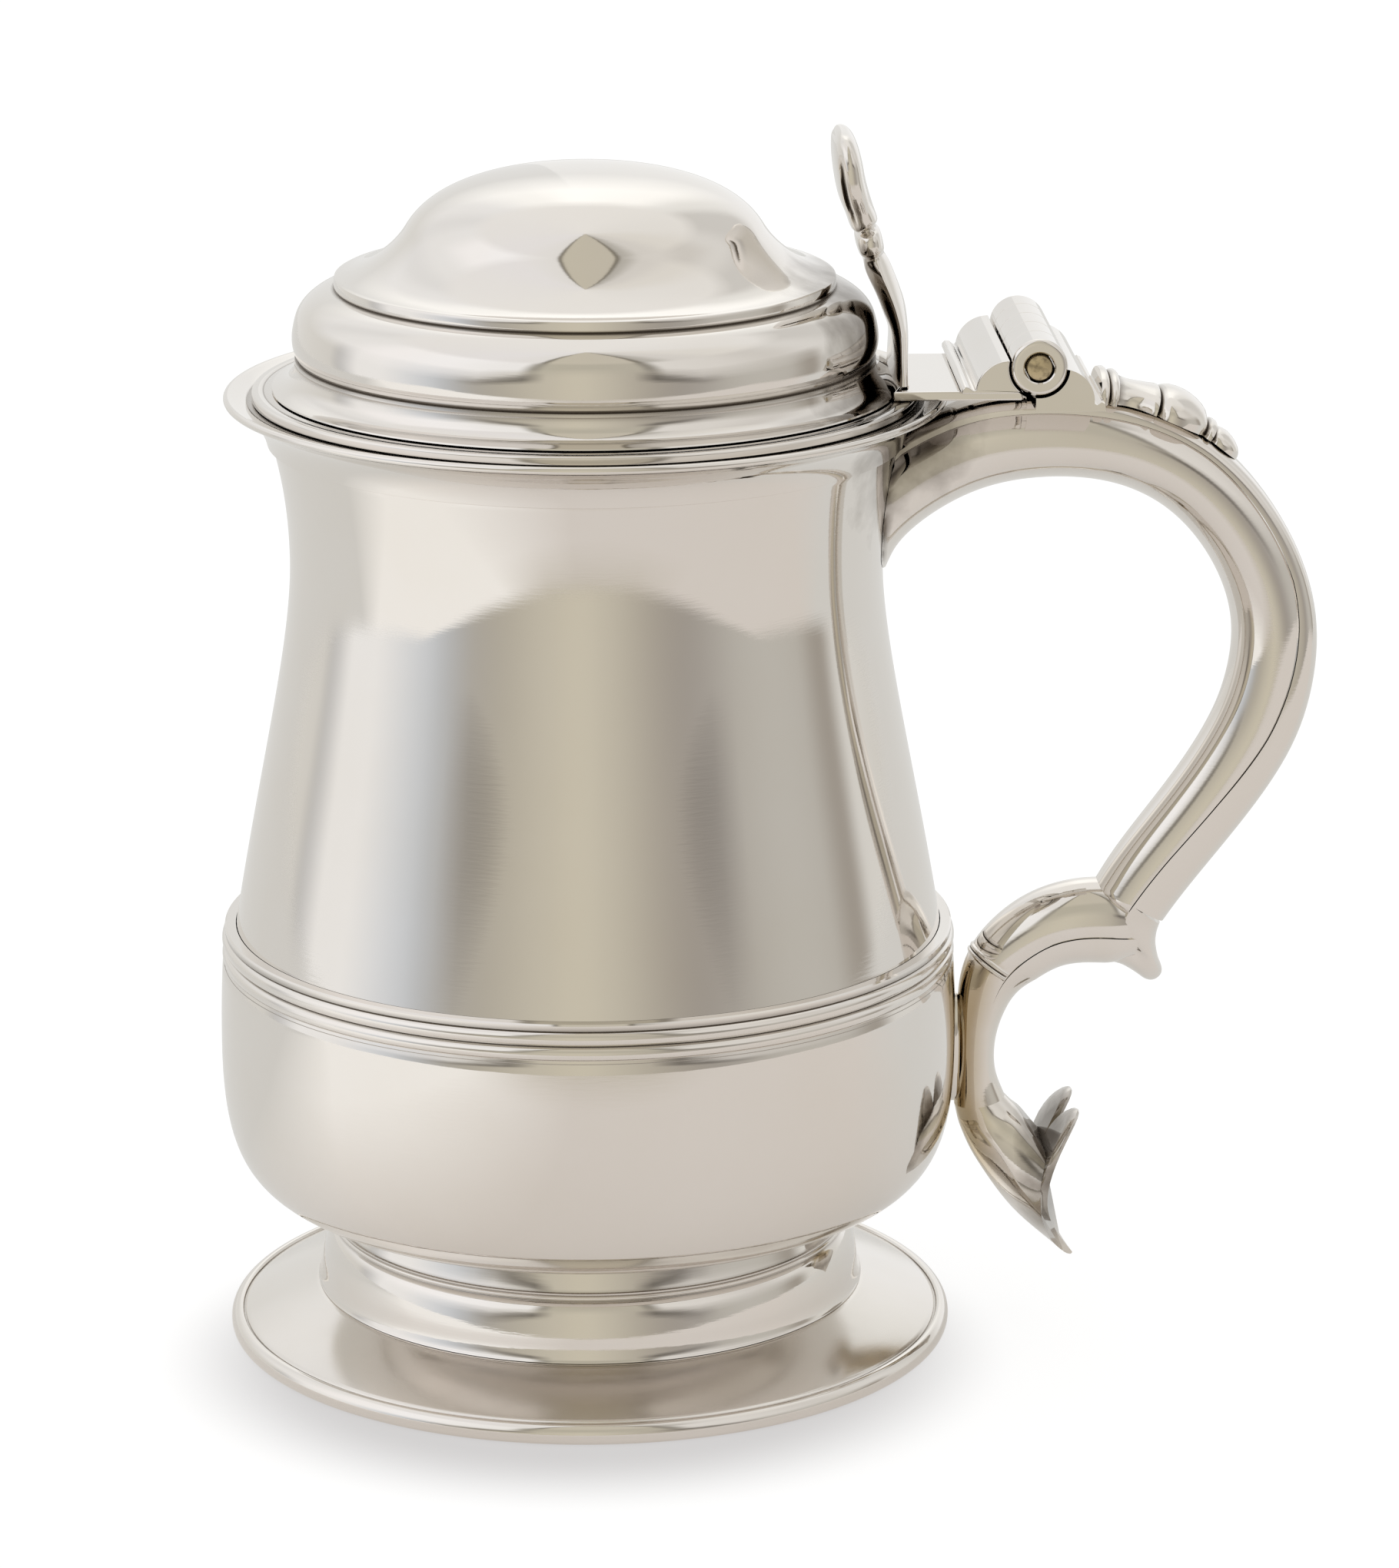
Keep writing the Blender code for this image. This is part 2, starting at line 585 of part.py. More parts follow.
def ring_at(station, section):
    """Place a section of (across, outward) points at a station of a path."""
    point, normal = station
    return [(point[0] + v * normal[0], u, point[1] + v * normal[1]) for u, v in section]


def channel_section(half_width, half_thickness, seam, steps=8):
    """Return the hollow, round-backed half of a handle, open at the seam."""
    section = []
    for inset in (0, HANDLE_WALL):
        a = half_width - inset
        b = half_thickness - inset
        lift = asin(min(seam / b, 0.9))
        sweep = [lift - (pi + 2 * lift) * i / steps for i in range(steps + 1)]
        side = [(a * cos(angle), b * sin(angle)) for angle in sweep]
        section += side if inset == 0 else side[::-1]
    return section


def strip_section(half_width, half_thickness, seam, steps=6):
    """Return the domed strip that closes a handle along the seam and stands proud of its sides."""
    lift = asin((seam + SEAT_GAP) / half_thickness)
    sweep = [lift + (pi - 2 * lift) * i / steps for i in range(steps + 1)]
    return [((half_width + STRIP_PROUD) * cos(angle), half_thickness * sin(angle)) for angle in sweep]


def upper_spine():
    """Return the middle line of the upper scroll as (x, z, half thickness, half width)."""
    reach = HANDLE_REACH - HANDLE_THICKNESS / 2
    end = (reach - SCROLL_RETURN, GIRDLE_MIDDLE + SCROLL_END_RISE)
    turn_z = APEX_Z - SCROLL_TURN
    fall = end[1] - turn_z
    t = HANDLE_THICKNESS / 2
    w = HANDLE_WIDTH / 2
    knots = [(WAIST_RADIUS - ROOT_SINK, APEX_Z - ROOT_DROP, t, w),
             (LIP_RADIUS - ROOT_SINK * 0.1, APEX_Z - ROOT_DROP * 0.28, t, w),
             (HINGE_X + CREST_REACH, APEX_Z, t, w),
             (reach - SCROLL_RETURN * 0.62, APEX_Z - SCROLL_TURN * 0.23, t, w * 0.98),
             (reach, turn_z, t, w * 0.93),
             (reach - SCROLL_RETURN * 0.46, turn_z + fall * 0.645, t, w * 0.86),
             (*end, t * 0.98, w * 0.82)]
    return smooth_path(knots, UPPER_STEPS)


def lower_spine():
    """Return the middle line of the lower scroll as (x, z, half thickness, half width)."""
    start = upper_spine()[-1]
    seat = BELLY_RADIUS + 2 * SEAT_GAP + PAD_THICKNESS
    t = LOWER_THICKNESS / 2
    w = LOWER_WIDTH / 2
    first = (start[0] - LOWER_THICKNESS * 0.12, start[1] - LOWER_THICKNESS * 0.52)
    third = (seat + LOWER_REACH, GIRDLE_MIDDLE - LOWER_REACH * 0.19)
    second = ((first[0] + third[0]) / 2, (first[1] + third[1]) / 2 + LOWER_REACH * 0.12)
    knots = [(*first, t, w),
             (*second, t, w),
             (*third, t * 0.97, w * 0.94),
             (seat + LOWER_REACH * 0.47, GIRDLE_MIDDLE - LOWER_REACH * 0.66, t * 0.95, w * 0.86),
             (seat + LOWER_REACH * 0.285, BELLY_Z + LOWER_REACH * 0.34, t * 0.56, w * 0.74),
             (seat + LOWER_REACH * 0.265, BELLY_Z - LOWER_REACH * 0.49, t * 0.48, w * 0.72),
             (seat + LOWER_REACH * 0.365, BELLY_Z - LOWER_REACH * 1.2, t * 0.76, w * 0.78)]
    return smooth_path(knots, LOWER_STEPS)


def scroll_pieces(label, spine, seam_share, parts, parent, finish):
    """Make the channel and the strip of one scroll of the handle."""
    stations = frames(spine)
    channel = []
    strip = []
    for station, (_, _, t, w) in zip(stations, spine):
        channel.append(ring_at(station, channel_section(w, t, t * seam_share)))
        strip.append(ring_at(station, strip_section(w, t, t * seam_share)))
    return (lofted(f"{label}_handle_channel", channel, parts, parent, finish),
            lofted(f"{label}_handle_strip", strip, parts, parent, finish))


def oval_section(half_width, half_thickness, steps=12):
    """Return a full oval section."""
    return [(half_width * cos(tau * i / steps), half_thickness * sin(tau * i / steps)) for i in range(steps)]


def spur_rings(gap):
    """Return the rings of the spur, which runs on from the upper scroll and ends in a blunt tip."""
    x, z, t, w = upper_spine()[-1]
    end_normal = frames(upper_spine())[-1][1]
    along = (end_normal[1], -end_normal[0])
    start = (x + along[0] * SEAT_GAP, z + along[1] * SEAT_GAP)
    straight = (along[0] * 0.19, along[1] * 0.19)
    knots = [(start[0] + dx * SPUR_LENGTH, start[1] + dz * SPUR_LENGTH, t * thick, w * wide)
             for dx, dz, thick, wide in ((0, 0, 1, 1), (*straight, 0.92, 0.96), (-0.1, -0.46, 0.7, 0.86),
                                         (0.02, -0.74, 0.44, 0.72), (0.12, -0.92, 0.33, 0.56),
                                         (0.18, -1.0, 0.15, 0.3))]
    path = smooth_path(knots, 2)
    stations = [(start, end_normal)] + frames(path)[1:]
    return [ring_at(station, oval_section(half_w + gap, half_t + gap))
            for station, (_, _, half_t, half_w) in zip(stations, path)]


def handle_collar(parts, parent, finish):
    """Make the reeded band that lies across the back and the sides of the lower scroll."""
    spine = lower_spine()
    middle = 3 * LOWER_STEPS
    x, z, t, w = spine[middle]
    normal = frames(spine)[middle][1]
    along = (normal[1], -normal[0])
    rings = []
    for share, height in ((-0.5, 0.5), (-0.3, 1.0), (0.0, 0.5), (0.3, 1.0), (0.5, 0.5)):
        shift = share * COLLAR_BAND_LENGTH
        centre = (x + along[0] * shift, z + along[1] * shift)
        section = []
        for grow in (SEAT_GAP + height * COLLAR_BAND_PROUD, SEAT_GAP):
            sweep = [0.1 - (pi + 0.2) * i / 8 for i in range(9)]
            side = [((w + grow) * cos(angle), (t + grow) * sin(angle)) for angle in sweep]
            section += side[::-1] if section else side
        rings.append(ring_at((centre, normal), section))
    return lofted("handle_collar", rings, parts, parent, finish)


def handle_pad(parts, cutters, parent, finish):
    """Make the oval plate on the belly that the lower scroll is soldered to."""
    turns = [tau * (i + 0.5) / PAD_STEPS for i in range(PAD_STEPS)]
    outline = [(PAD_WIDTH / 2 * cos(turn), PAD_HEIGHT / 2 * sin(turn)) for turn in turns]
    middle = BELLY_Z - PAD_HEIGHT * 0.16
    low = BELLY_RADIUS - PAD_HEIGHT * 0.42
    high = BELLY_RADIUS + PAD_HEIGHT * 0.1
    rings = [[(x, u, middle + v) for u, v in outline] for x in (low, high)]
    pad = lofted("handle_pad", rings, parts, parent, finish)
    combine(pad, envelope("pad_outside", SEAT_GAP + PAD_THICKNESS, cutters), 'INTERSECT')
    combine(pad, envelope("pad_inside", SEAT_GAP, cutters))
    return pad


def heart(share, scale):
    """Return a point of the heart outline at a scale, from its notch round one lobe to its tip."""
    t = tau * share
    across = sin(t) ** 3
    up = (13 * cos(t) - 5 * cos(2 * t) - 2 * cos(3 * t) - cos(4 * t)) / 14.5 + 0.18
    return across * scale * HEART_WIDTH / 2, up * scale * HEART_HEIGHT / 2


def plate_point(share, scale, depth):
    """Return a point of the dished heart, with depth measured out from the back of the plate."""
    x, z, _, _ = lower_spine()[-1]
    across, up = heart(share, scale)
    hollow = HEART_HOLLOW * (1 - (2 * up / HEART_HEIGHT) ** 2)
    return Vector((x + HEART_REACH - hollow - HEART_PLATE + depth, across, z - HEART_DROP + up))


def plate_ring(scale, depth):
    """Return a ring of the dished heart."""
    return [plate_point(i / HEART_STEPS, scale, depth) for i in range(HEART_STEPS)]


def horn_ring(blend):
    """Return a ring of the horn, which leaves the scroll along its line and meets the heart squarely."""
    x, z, t, w = lower_spine()[-1]
    normal = frames(lower_spine())[-1][1]
    away = Vector((normal[1], 0, -normal[0]))
    towards = Vector((0.97, 0, -0.24))
    ring = []
    for i in range(HEART_STEPS):
        angle = pi / 2 - tau * i / HEART_STEPS
        out = t * sin(angle)
        start = Vector((x + out * normal[0], w * cos(angle), z + out * normal[1])) + away * SEAT_GAP
        end = plate_point(i / HEART_STEPS, 0.97, -SEAT_GAP)
        span = (end - start).length
        leave = 0.75 * blend * (1 - blend) ** 2 * span
        meet = 0.75 * blend ** 2 * (1 - blend) * span
        ease = blend * blend * (3 - 2 * blend)
        ring.append(start.lerp(end, ease) + away * leave - towards * meet)
    return ring


def terminal(parts, parent, finish):
    """Make the flared horn at the end of the lower scroll and the heart-shaped plate that closes it."""
    horn = [horn_ring(i / 5) for i in range(6)]
    horn += [plate_ring(0.5, -SEAT_GAP), plate_ring(0.05, -SEAT_GAP)]
    lofted("terminal_horn", horn, parts, parent, finish)
    scales = (0.05, 0.5, 1.0)
    plate = [plate_ring(scale, 0) for scale in scales]
    plate += [plate_ring(scale, HEART_PLATE) for scale in scales[::-1]]
    lofted("terminal_plate", plate, parts, parent, finish)


def handle_drop(parts, parent, finish):
    """Make the cast drop on the handle: a waisted neck, a bulb, a groove and a bead."""
    spine = upper_spine()
    stations = frames(spine)
    crest = [(p[0] + n[0] * s[2], p[1] + n[1] * s[2]) for (p, n), s in zip(stations, spine)]
    start_x = HINGE_X + BLOCK_LENGTH + SEAT_GAP
    run = [point for point in crest if point[0] > HINGE_X]
    travelled = 0
    line = []
    for a, b in zip(run, run[1:]):
        step = hypot(b[0] - a[0], b[1] - a[1])
        for i in range(12):
            t = i / 12
            x = a[0] + (b[0] - a[0]) * t
            if x < start_x:
                continue
            line.append((x, a[1] + (b[1] - a[1]) * t, travelled))
            travelled += step / 12
    shape = ((0.0, 0.95, 0.75), (0.04, 0.95, 0.75), (0.07, 0.8, 0.55), (0.2, 0.74, 0.5), (0.3, 0.84, 0.7),
             (0.36, 0.86, 0.72), (0.38, 0.74, 0.5), (0.41, 0.92, 0.8), (0.52, 1.0, 1.0), (0.64, 0.8, 0.88),
             (0.7, 0.56, 0.42), (0.73, 0.52, 0.38), (0.75, 0.6, 0.5), (0.8, 0.6, 0.48), (0.82, 0.44, 0.34),
             (0.9, 0.48, 0.4), (0.97, 0.36, 0.28), (1.0, 0.16, 0.12))
    rings = []
    frame_line = frames([point[:2] for point in line])
    for share, wide, tall in shape:
        want = share * DROP_LENGTH
        i = min(range(len(line)), key=lambda k: abs(line[k][2] - want))
        half = DROP_WIDTH / 2 * wide
        high = SEAT_GAP + DROP_HEIGHT * tall
        section = [(half * cos(pi * k / 8), SEAT_GAP + (high - SEAT_GAP) * sin(pi * k / 8) ** 0.7)
                   for k in range(9)]
        rings.append(ring_at(frame_line[i], section))
    return lofted("handle_drop", rings, parts, parent, finish)


def thumbpiece(parts, parent, finish):
    """Make the cast scroll: a leg, a knob and a leaf that is folded over towards the lid."""
    foot_x = LID_FLANGE_RADIUS - 2.0 * MM
    foot_z = STRAP_TOP + SEAT_GAP
    h = THUMB_HEIGHT
    lean = THUMB_LEAN
    leg = THUMB_LEG / 2
    leaf = THUMB_PLATE / 2
    base = THUMB_BASE_WIDTH / 2
    waist = THUMB_WAIST_WIDTH / 2
    wide = THUMB_WIDTH / 2
    fold = THUMB_FOLD
    top_x = foot_x - lean
    knots = [(foot_x, foot_z, leg, base), (foot_x, foot_z + h * 0.05, leg * 0.9, base * 0.94),
             (foot_x + 0.2 * MM, foot_z + h * 0.18, leg, base * 0.66),
             (foot_x - lean * 0.14, foot_z + h * 0.33, leg * 1.15, waist * 1.2),
             (foot_x - lean * 0.36, foot_z + h * 0.46, leg * 1.25, waist),
             (foot_x - lean * 0.46, foot_z + h * 0.52, leg * 1.5, waist * 1.15),
             (foot_x - lean * 0.54, foot_z + h * 0.57, leg * 1.3, waist),
             (foot_x - lean * 0.6 + fold * 0.5, foot_z + h * 0.64, leaf * 1.4, wide * 0.62),
             (foot_x - lean * 0.75 + fold, foot_z + h * 0.78, leaf, wide),
             (top_x + fold * 1.3, foot_z + h * 0.92, leaf, wide * 0.86),
             (top_x + fold * 0.9, foot_z + h * 0.97, leaf, wide * 0.68),
             (top_x - fold * 0.1, foot_z + h - leaf, leaf, wide * 0.56),
             (top_x - fold * 1.1, foot_z + h * 0.96, leaf, wide * 0.62),
             (top_x - fold * 1.0, foot_z + h * 0.9, leaf, wide * 0.76),
             (foot_x - lean * 0.75 - fold * 1.25, foot_z + h * 0.78, leaf * 0.9, wide * 0.86),
             (foot_x - lean * 0.65 - fold * 1.1, foot_z + h * 0.69, leaf * 0.8, wide * 0.6)]
    path = smooth_path(knots, 2)
    rings = []
    for station, (_, _, half_t, half_w) in zip(frames(path), path):
        corner = min(half_t, half_w) * 0.8
        section = []
        for centre, angle in (((half_w, half_t), 0), ((-half_w, half_t), 90),
                              ((-half_w, -half_t), 180), ((half_w, -half_t), 270)):
            inset = (centre[0] - corner * (1 if centre[0] > 0 else -1),
                     centre[1] - corner * (1 if centre[1] > 0 else -1))
            section += arc(inset, corner, angle, angle + 90, 2)
        rings.append(ring_at(station, section))
    return lofted("thumbpiece", rings, parts, parent, finish)


def handle(parts, cutters, parent, finish):
    """Make the scrolls of the handle and what joins them to the body."""
    body_space = envelope("body_space", SEAT_GAP, cutters)
    pad_space = envelope("pad_space", 2 * SEAT_GAP + PAD_THICKNESS, cutters)
    for piece in scroll_pieces("upper", upper_spine(), 0.46, parts, parent, finish):
        combine(piece, body_space)
    lofted("handle_spur", spur_rings(0), parts, parent, finish)
    spur_space = make_cutter(lofted("spur_space", spur_rings(SEAT_GAP), cutters))
    for piece in scroll_pieces("lower", lower_spine(), 0.36, parts, parent, finish):
        combine(piece, spur_space)
        combine(piece, pad_space)
    handle_collar(parts, parent, finish)
    handle_pad(parts, cutters, parent, finish)
    terminal(parts, parent, finish)
    hinge_bed(parts, parent, finish)
    handle_drop(parts, parent, finish)


def place_on_middle(root, parts):
    """Move the whole so that the middle of its box stands over the origin."""
    bpy.context.view_layer.update()
    graph = bpy.context.evaluated_depsgraph_get()
    xs = []
    for piece in parts.objects:
        if piece.type == 'MESH':
            final = piece.evaluated_get(graph)
            xs += [(final.matrix_world @ vertex.co).x for vertex in final.data.vertices]
    root.location.x = -(min(xs) + max(xs)) / 2


def main():
    """Build the tankard."""
    clear_scene()
    parts = new_collection("silver_tankard")
    cutters = new_collection("cutters")
    silver = metal("polished_silver", (0.82, 0.80, 0.76), 0.16)
    brass = metal("pin_brass", (0.72, 0.58, 0.34), 0.3)
    root = add_object("tankard", None, parts)
    hinge = add_object("hinge_axis", None, parts, root)
    hinge.location = (HINGE_X, 0, HINGE_Z)
    lid = add_object("lid_pivot", None, parts, hinge)
    lid_frame = add_object("lid_frame", None, parts, lid)
    lid_frame.location = (-HINGE_X, 0, -HINGE_Z)
    for piece in (body_shell, lip_moulding, girdle_band, foot_collar, foot_flange, foot_wire):
        piece(parts, root, silver)
    handle(parts, cutters, root, silver)
    for piece in (lid_cover, lid_flange, lid_bezel, lid_hinge_block, thumbpiece):
        piece(parts, lid_frame, silver)
    lid_strap(parts, cutters, lid_frame, silver)
    hinge_tubes(parts, hinge, lid, silver, brass)
    for cutter in cutters.objects:
        cutter.parent = lid_frame if cutter.name == "lid_foot_space" else root
    place_on_middle(root, parts)


main()
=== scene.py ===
"""Looks of the lidded silver tankard, laid out as an add-on and run as a script."""
import json
from math import asin, atan2, copysign, cos, degrees, exp, hypot, pi, radians, sin, tau
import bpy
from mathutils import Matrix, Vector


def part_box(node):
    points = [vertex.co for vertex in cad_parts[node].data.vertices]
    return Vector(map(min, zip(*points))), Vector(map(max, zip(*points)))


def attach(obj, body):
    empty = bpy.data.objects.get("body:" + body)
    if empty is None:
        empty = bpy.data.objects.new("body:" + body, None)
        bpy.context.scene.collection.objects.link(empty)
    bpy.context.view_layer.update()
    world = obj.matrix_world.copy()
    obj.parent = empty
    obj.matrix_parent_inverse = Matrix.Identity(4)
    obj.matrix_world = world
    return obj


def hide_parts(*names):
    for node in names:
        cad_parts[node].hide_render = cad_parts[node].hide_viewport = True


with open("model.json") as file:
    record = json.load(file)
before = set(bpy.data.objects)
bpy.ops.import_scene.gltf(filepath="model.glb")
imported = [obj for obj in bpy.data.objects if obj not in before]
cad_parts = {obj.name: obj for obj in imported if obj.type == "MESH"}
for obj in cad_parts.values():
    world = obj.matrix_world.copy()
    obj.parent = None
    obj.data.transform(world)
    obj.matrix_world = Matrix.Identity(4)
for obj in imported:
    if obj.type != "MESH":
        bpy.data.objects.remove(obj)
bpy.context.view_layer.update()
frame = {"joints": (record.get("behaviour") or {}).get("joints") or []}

from types import SimpleNamespace

import bmesh
import bpy
import numpy as np
from bpy.props import FloatProperty, FloatVectorProperty, PointerProperty
from mathutils import Vector

bl_info = {
    "name": "Silver Tankard",
    "version": (1, 0, 0),
    "blender": (4, 5, 0),
    "location": "View3D > Sidebar > Tankard",
    "description": "Models the pieces of a lidded silver tankard over its packed frame",
    "category": "Object",
}

MM = 0.001
FOOT_LOW, FOOT_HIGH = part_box("foot_wire")
AXIS_X = (FOOT_LOW.x + FOOT_HIGH.x) / 2
HINGE = frame["joints"][0]["pos_m"]
MERGE = 0.0000005
BLACK = (0.0, 0.0, 0.0)

# Height of the hinge block's and the thumbpiece's seat above the foot of the cover, in millimetres.
STRAP_SEAT = 1.6

# A dark patch is the place of its middle and how fast it fades along each axis.
LID_DARK_PATCH = ((AXIS_X + 0.0475, -0.006, 0.1665), (64.0, 38.0, 42.0))
HORN_DARK_PATCH = ((AXIS_X + 0.0768, 0.0, 0.028), (190.0, 66.0, 66.0))

# How warm and how dirty each silver is, its dark patch and how dull its polish has worn.
SILVERS = {
    "polished_silver": (0.25, 1.0, LID_DARK_PATCH, 1.0),
    "rubbed_silver": (0.35, 0.4, None, 1.0),
    "worn_silver": (0.35, 0.4, None, 3.6),
    "cast_silver": (0.7, 1.15, None, 1.0),
    "dark_cast_silver": (0.7, 1.15, HORN_DARK_PATCH, 1.0),
}


def length(name, description, millimetres):
    """Return a length property with its default in millimetres."""
    return FloatProperty(name=name, description=description, default=millimetres * MM,
                         unit='LENGTH', subtype='DISTANCE', precision=4)


def colour(name, description, value):
    """Return a colour property."""
    return FloatVectorProperty(name=name, description=description, default=value,
                               subtype='COLOR', size=3, min=0, max=1)


def in_mm(group):
    """Return a property group's lengths in millimetres."""
    return SimpleNamespace(**{key: getattr(group, key) / MM for key in group.__annotations__})


class TankardBody(bpy.types.PropertyGroup):
    """Sizes of the body, its lip and its girdle."""
    seat_radius: length("Seat radius", "Where the body stands on the foot's neck", 44.15)
    bottom: length("Bottom", "Height of the body's underside", 24.5)
    belly_radius: length("Belly radius", "Largest radius of the body", 61.0)
    belly_height: length("Belly height", "Height of the largest radius", 49.7)
    girdle_radius: length("Girdle radius", "Radius of the girdle's beads", 60.6)
    girdle_bottom: length("Girdle bottom", "Height of the girdle's lower edge", 63.1)
    girdle_depth: length("Girdle depth", "Height of the girdle", 7.4)
    waist_radius: length("Waist radius", "Smallest radius of the body", 48.3)
    waist_height: length("Waist height", "Height of the smallest radius", 131.4)
    mouth_radius: length("Mouth radius", "Outer radius at the mouth", 51.0)
    mouth_height: length("Mouth height", "Height of the mouth", 158.4)
    lip_radius: length("Lip radius", "Radius of the everted lip", 58.6)
    lip_depth: length("Lip depth", "How far the lip comes down the body", 7.0)
    wall: length("Wall", "Thickness of the body", 0.9)


class TankardFoot(bpy.types.PropertyGroup):
    """Sizes of the foot."""
    radius: length("Foot radius", "Radius of the foot's wire", 60.3)
    wire_height: length("Wire height", "Height of the foot's wire", 3.5)
    wire_width: length("Wire width", "Width of the foot's wire", 4.6)
    spread_top: length("Spread top", "Height of the spreading foot", 8.35)
    neck_radius: length("Neck radius", "Radius of the neck's sweep", 45.6)
    neck_waist: length("Neck waist", "Smallest radius of the neck", 42.6)
    neck_top: length("Neck top", "Height of the neck", 24.2)


class TankardLid(bpy.types.PropertyGroup):
    """Sizes of the lid."""
    flange_radius: length("Flange radius", "Radius of the ring on the lip", 54.0)
    flange_low: length("Flange bottom", "Height of the ring's underside", 159.0)
    base: length("Base", "Height where the cover starts", 160.3)
    ovolo_radius: length("Ovolo radius", "Largest radius of the cover", 47.5)
    cavetto: length("Cavetto", "Height of the hollow under the ovolo", 4.3)
    ovolo: length("Ovolo", "Height of the ovolo", 12.0)
    skirt_radius: length("Skirt radius", "Radius at the foot of the dome", 40.4)
    skirt: length("Skirt", "Height of the dome's sweep", 9.54)
    dome_radius: length("Dome radius", "Radius of the dome", 28.9)
    dome: length("Dome", "Height of the dome", 9.66)
    wall: length("Wall", "Thickness of the cover", 0.9)
    bezel_radius: length("Bezel radius", "Radius of the ring inside the mouth", 49.2)


class TankardHandle(bpy.types.PropertyGroup):
    """Sizes of the handle and the hinge."""
    reach: length("Reach", "Distance of the handle's outer side from the axis", 120.1)
    thickness: length("Thickness", "Depth of the upper scroll", 13.6)
    width: length("Width", "Width of the upper scroll", 15.6)
    top: length("Top", "Height of the handle under the hinge", 158.6)
    lower_thickness: length("Lower thickness", "Depth of the lower scroll", 12.6)
    lower_width: length("Lower width", "Width of the lower scroll", 12.6)
    barrel_radius: length("Barrel radius", "Radius of the hinge barrel", 4.6)
    barrel_length: length("Barrel length", "Length of the hinge barrel", 38.0)
    pin_radius: length("Pin radius", "Radius of the hinge pin", 2.15)
    strap_width: length("Strap width", "Width of the lid's strap", 31.0)
    heart_width: length("Heart width", "Width of the heart-shaped plate", 23.0)
    heart_height: length("Heart height", "Height of the heart-shaped plate", 27.0)


class TankardFinish(bpy.types.PropertyGroup):
    """Colours of the metals."""
    silver: colour("Silver", "Polished silver", (0.80, 0.77, 0.735))
    warm: colour("Warm silver", "Silver with a breath of tarnish", (0.73, 0.68, 0.60))
    tarnish: colour("Tarnish", "Tarnish left in the hollows", (0.10, 0.075, 0.05))
    # A tan colour laid by place on the side of the lower scroll and the horn that faces the body.
    tan: colour("Tan", "Thin tarnish where the handle is seldom rubbed", (0.50, 0.40, 0.24))
    brass: colour("Brass", "Worn brass of the pin", (0.62, 0.52, 0.34))
    polish: FloatProperty(name="Polish", description="Roughness of the polished silver",
                          default=0.045, min=0, max=1)


class TankardStage(bpy.types.PropertyGroup):
    """Camera and surroundings."""
    distance: length("Distance", "Level distance of the camera from the body's axis", 977.0)
    height: length("Height", "Height of the camera", 363.9)
    lens: FloatProperty(name="Lens", description="Focal length in millimetres on a 36 mm side", default=141.2)
    turn: FloatProperty(name="Turn", description="How far the handle points away from the camera",
                        default=radians(1.64), subtype='ANGLE')
    aside: FloatProperty(name="Aside", description="How far the camera looks past the axis",
                         default=radians(1.081), subtype='ANGLE')
    down: FloatProperty(name="Down", description="How far the camera looks down",
                        default=radians(15.5), subtype='ANGLE')
    floor: colour("Floor", "Pale floor", (0.98, 0.98, 0.98))
    # Painted shadow: the tone the camera sees on the floor close to the foot.
    painted_foot_shadow: colour("Floor near the foot", "Pale floor close to the foot", (0.64, 0.63, 0.63))
    # Painted light and shade on the floor that only the silver's reflections show: darker behind, in front
    # and at the front edge, lighter on the window side.
    floor_back_shade: colour("Floor behind", "Floor behind the tankard, as the silver shows it", (0.62, 0.62, 0.61))
    floor_left_light: colour("Floor at the left", "Floor on the window side, as the silver shows it",
                       (0.86, 0.855, 0.845))
    floor_shade: colour("Floor shade", "Floor in front of the tankard, as the silver shows it",
                        (0.64, 0.61, 0.585))
    floor_edge_shade: colour("Floor edge", "Front edge of the floor, as the silver shows it", (0.51, 0.48, 0.42))


def bezier(start, pull_start, pull_end, end, steps):
    """Return the points of a cubic curve, both ends included."""
    points = []
    for i in range(steps + 1):
        t = i / steps
        s = 1 - t
        weights = (s ** 3, 3 * s * s * t, 3 * s * t * t, t ** 3)
        corners = (start, pull_start, pull_end, end)
        points.append(tuple(sum(w * c[k] for w, c in zip(weights, corners)) for k in range(2)))
    return points


def arc(centre, radius, start, end, steps):
    """Return the points of a circular arc between two angles in degrees."""
    angles = [radians(start + (end - start) * i / steps) for i in range(steps + 1)]
    return [(centre[0] + radius * cos(a), centre[1] + radius * sin(a)) for a in angles]


def smooth_path(knots, steps):
    """Return a smooth curve through knots of any size, with steps points to each stretch."""
    ends = [tuple(2 * a - b for a, b in zip(knots[0], knots[1]))]
    ends += list(knots) + [tuple(2 * a - b for a, b in zip(knots[-1], knots[-2]))]
    path = []
    for before, start, end, after in zip(ends, ends[1:], ends[2:], ends[3:]):
        for i in range(steps):
            t = i / steps
            path.append(tuple(
                0.5 * (2 * b + (c - a) * t + (2 * a - 5 * b + 4 * c - d) * t * t
                       + (3 * b - a - 3 * c + d) * t ** 3)
                for a, b, c, d in zip(before, start, end, after)))
    path.append(tuple(knots[-1]))
    return path


def beside(points, distance):
    """Move an open outline sideways, to the left of its direction."""
    moved = []
    for i, point in enumerate(points):
        before = points[max(i - 1, 0)]
        after = points[min(i + 1, len(points) - 1)]
        along = Vector((after[0] - before[0], after[1] - before[1])).normalized()
        moved.append((point[0] - along.y * distance, point[1] + along.x * distance))
    return moved


def world_point(x, y, z):
    """Turn millimetres from the body's axis into metres in the frame."""
    return Vector((x * MM + AXIS_X, y * MM, z * MM))


def first_vertex(name, point):
    """Start a mesh in edit mode with a single vertex at a point."""
    bpy.ops.object.select_all(action='DESELECT')
    bpy.ops.mesh.primitive_plane_add(size=MM, location=(0, 0, 0))
    piece = bpy.context.object
    piece.name = name
    piece.data.name = name
    bpy.ops.object.mode_set(mode='EDIT')
    bpy.ops.mesh.select_mode(type='VERT')
    bpy.ops.mesh.select_all(action='SELECT')
    bpy.ops.mesh.merge(type='CENTER')
    bpy.ops.transform.translate(value=point)
    return piece


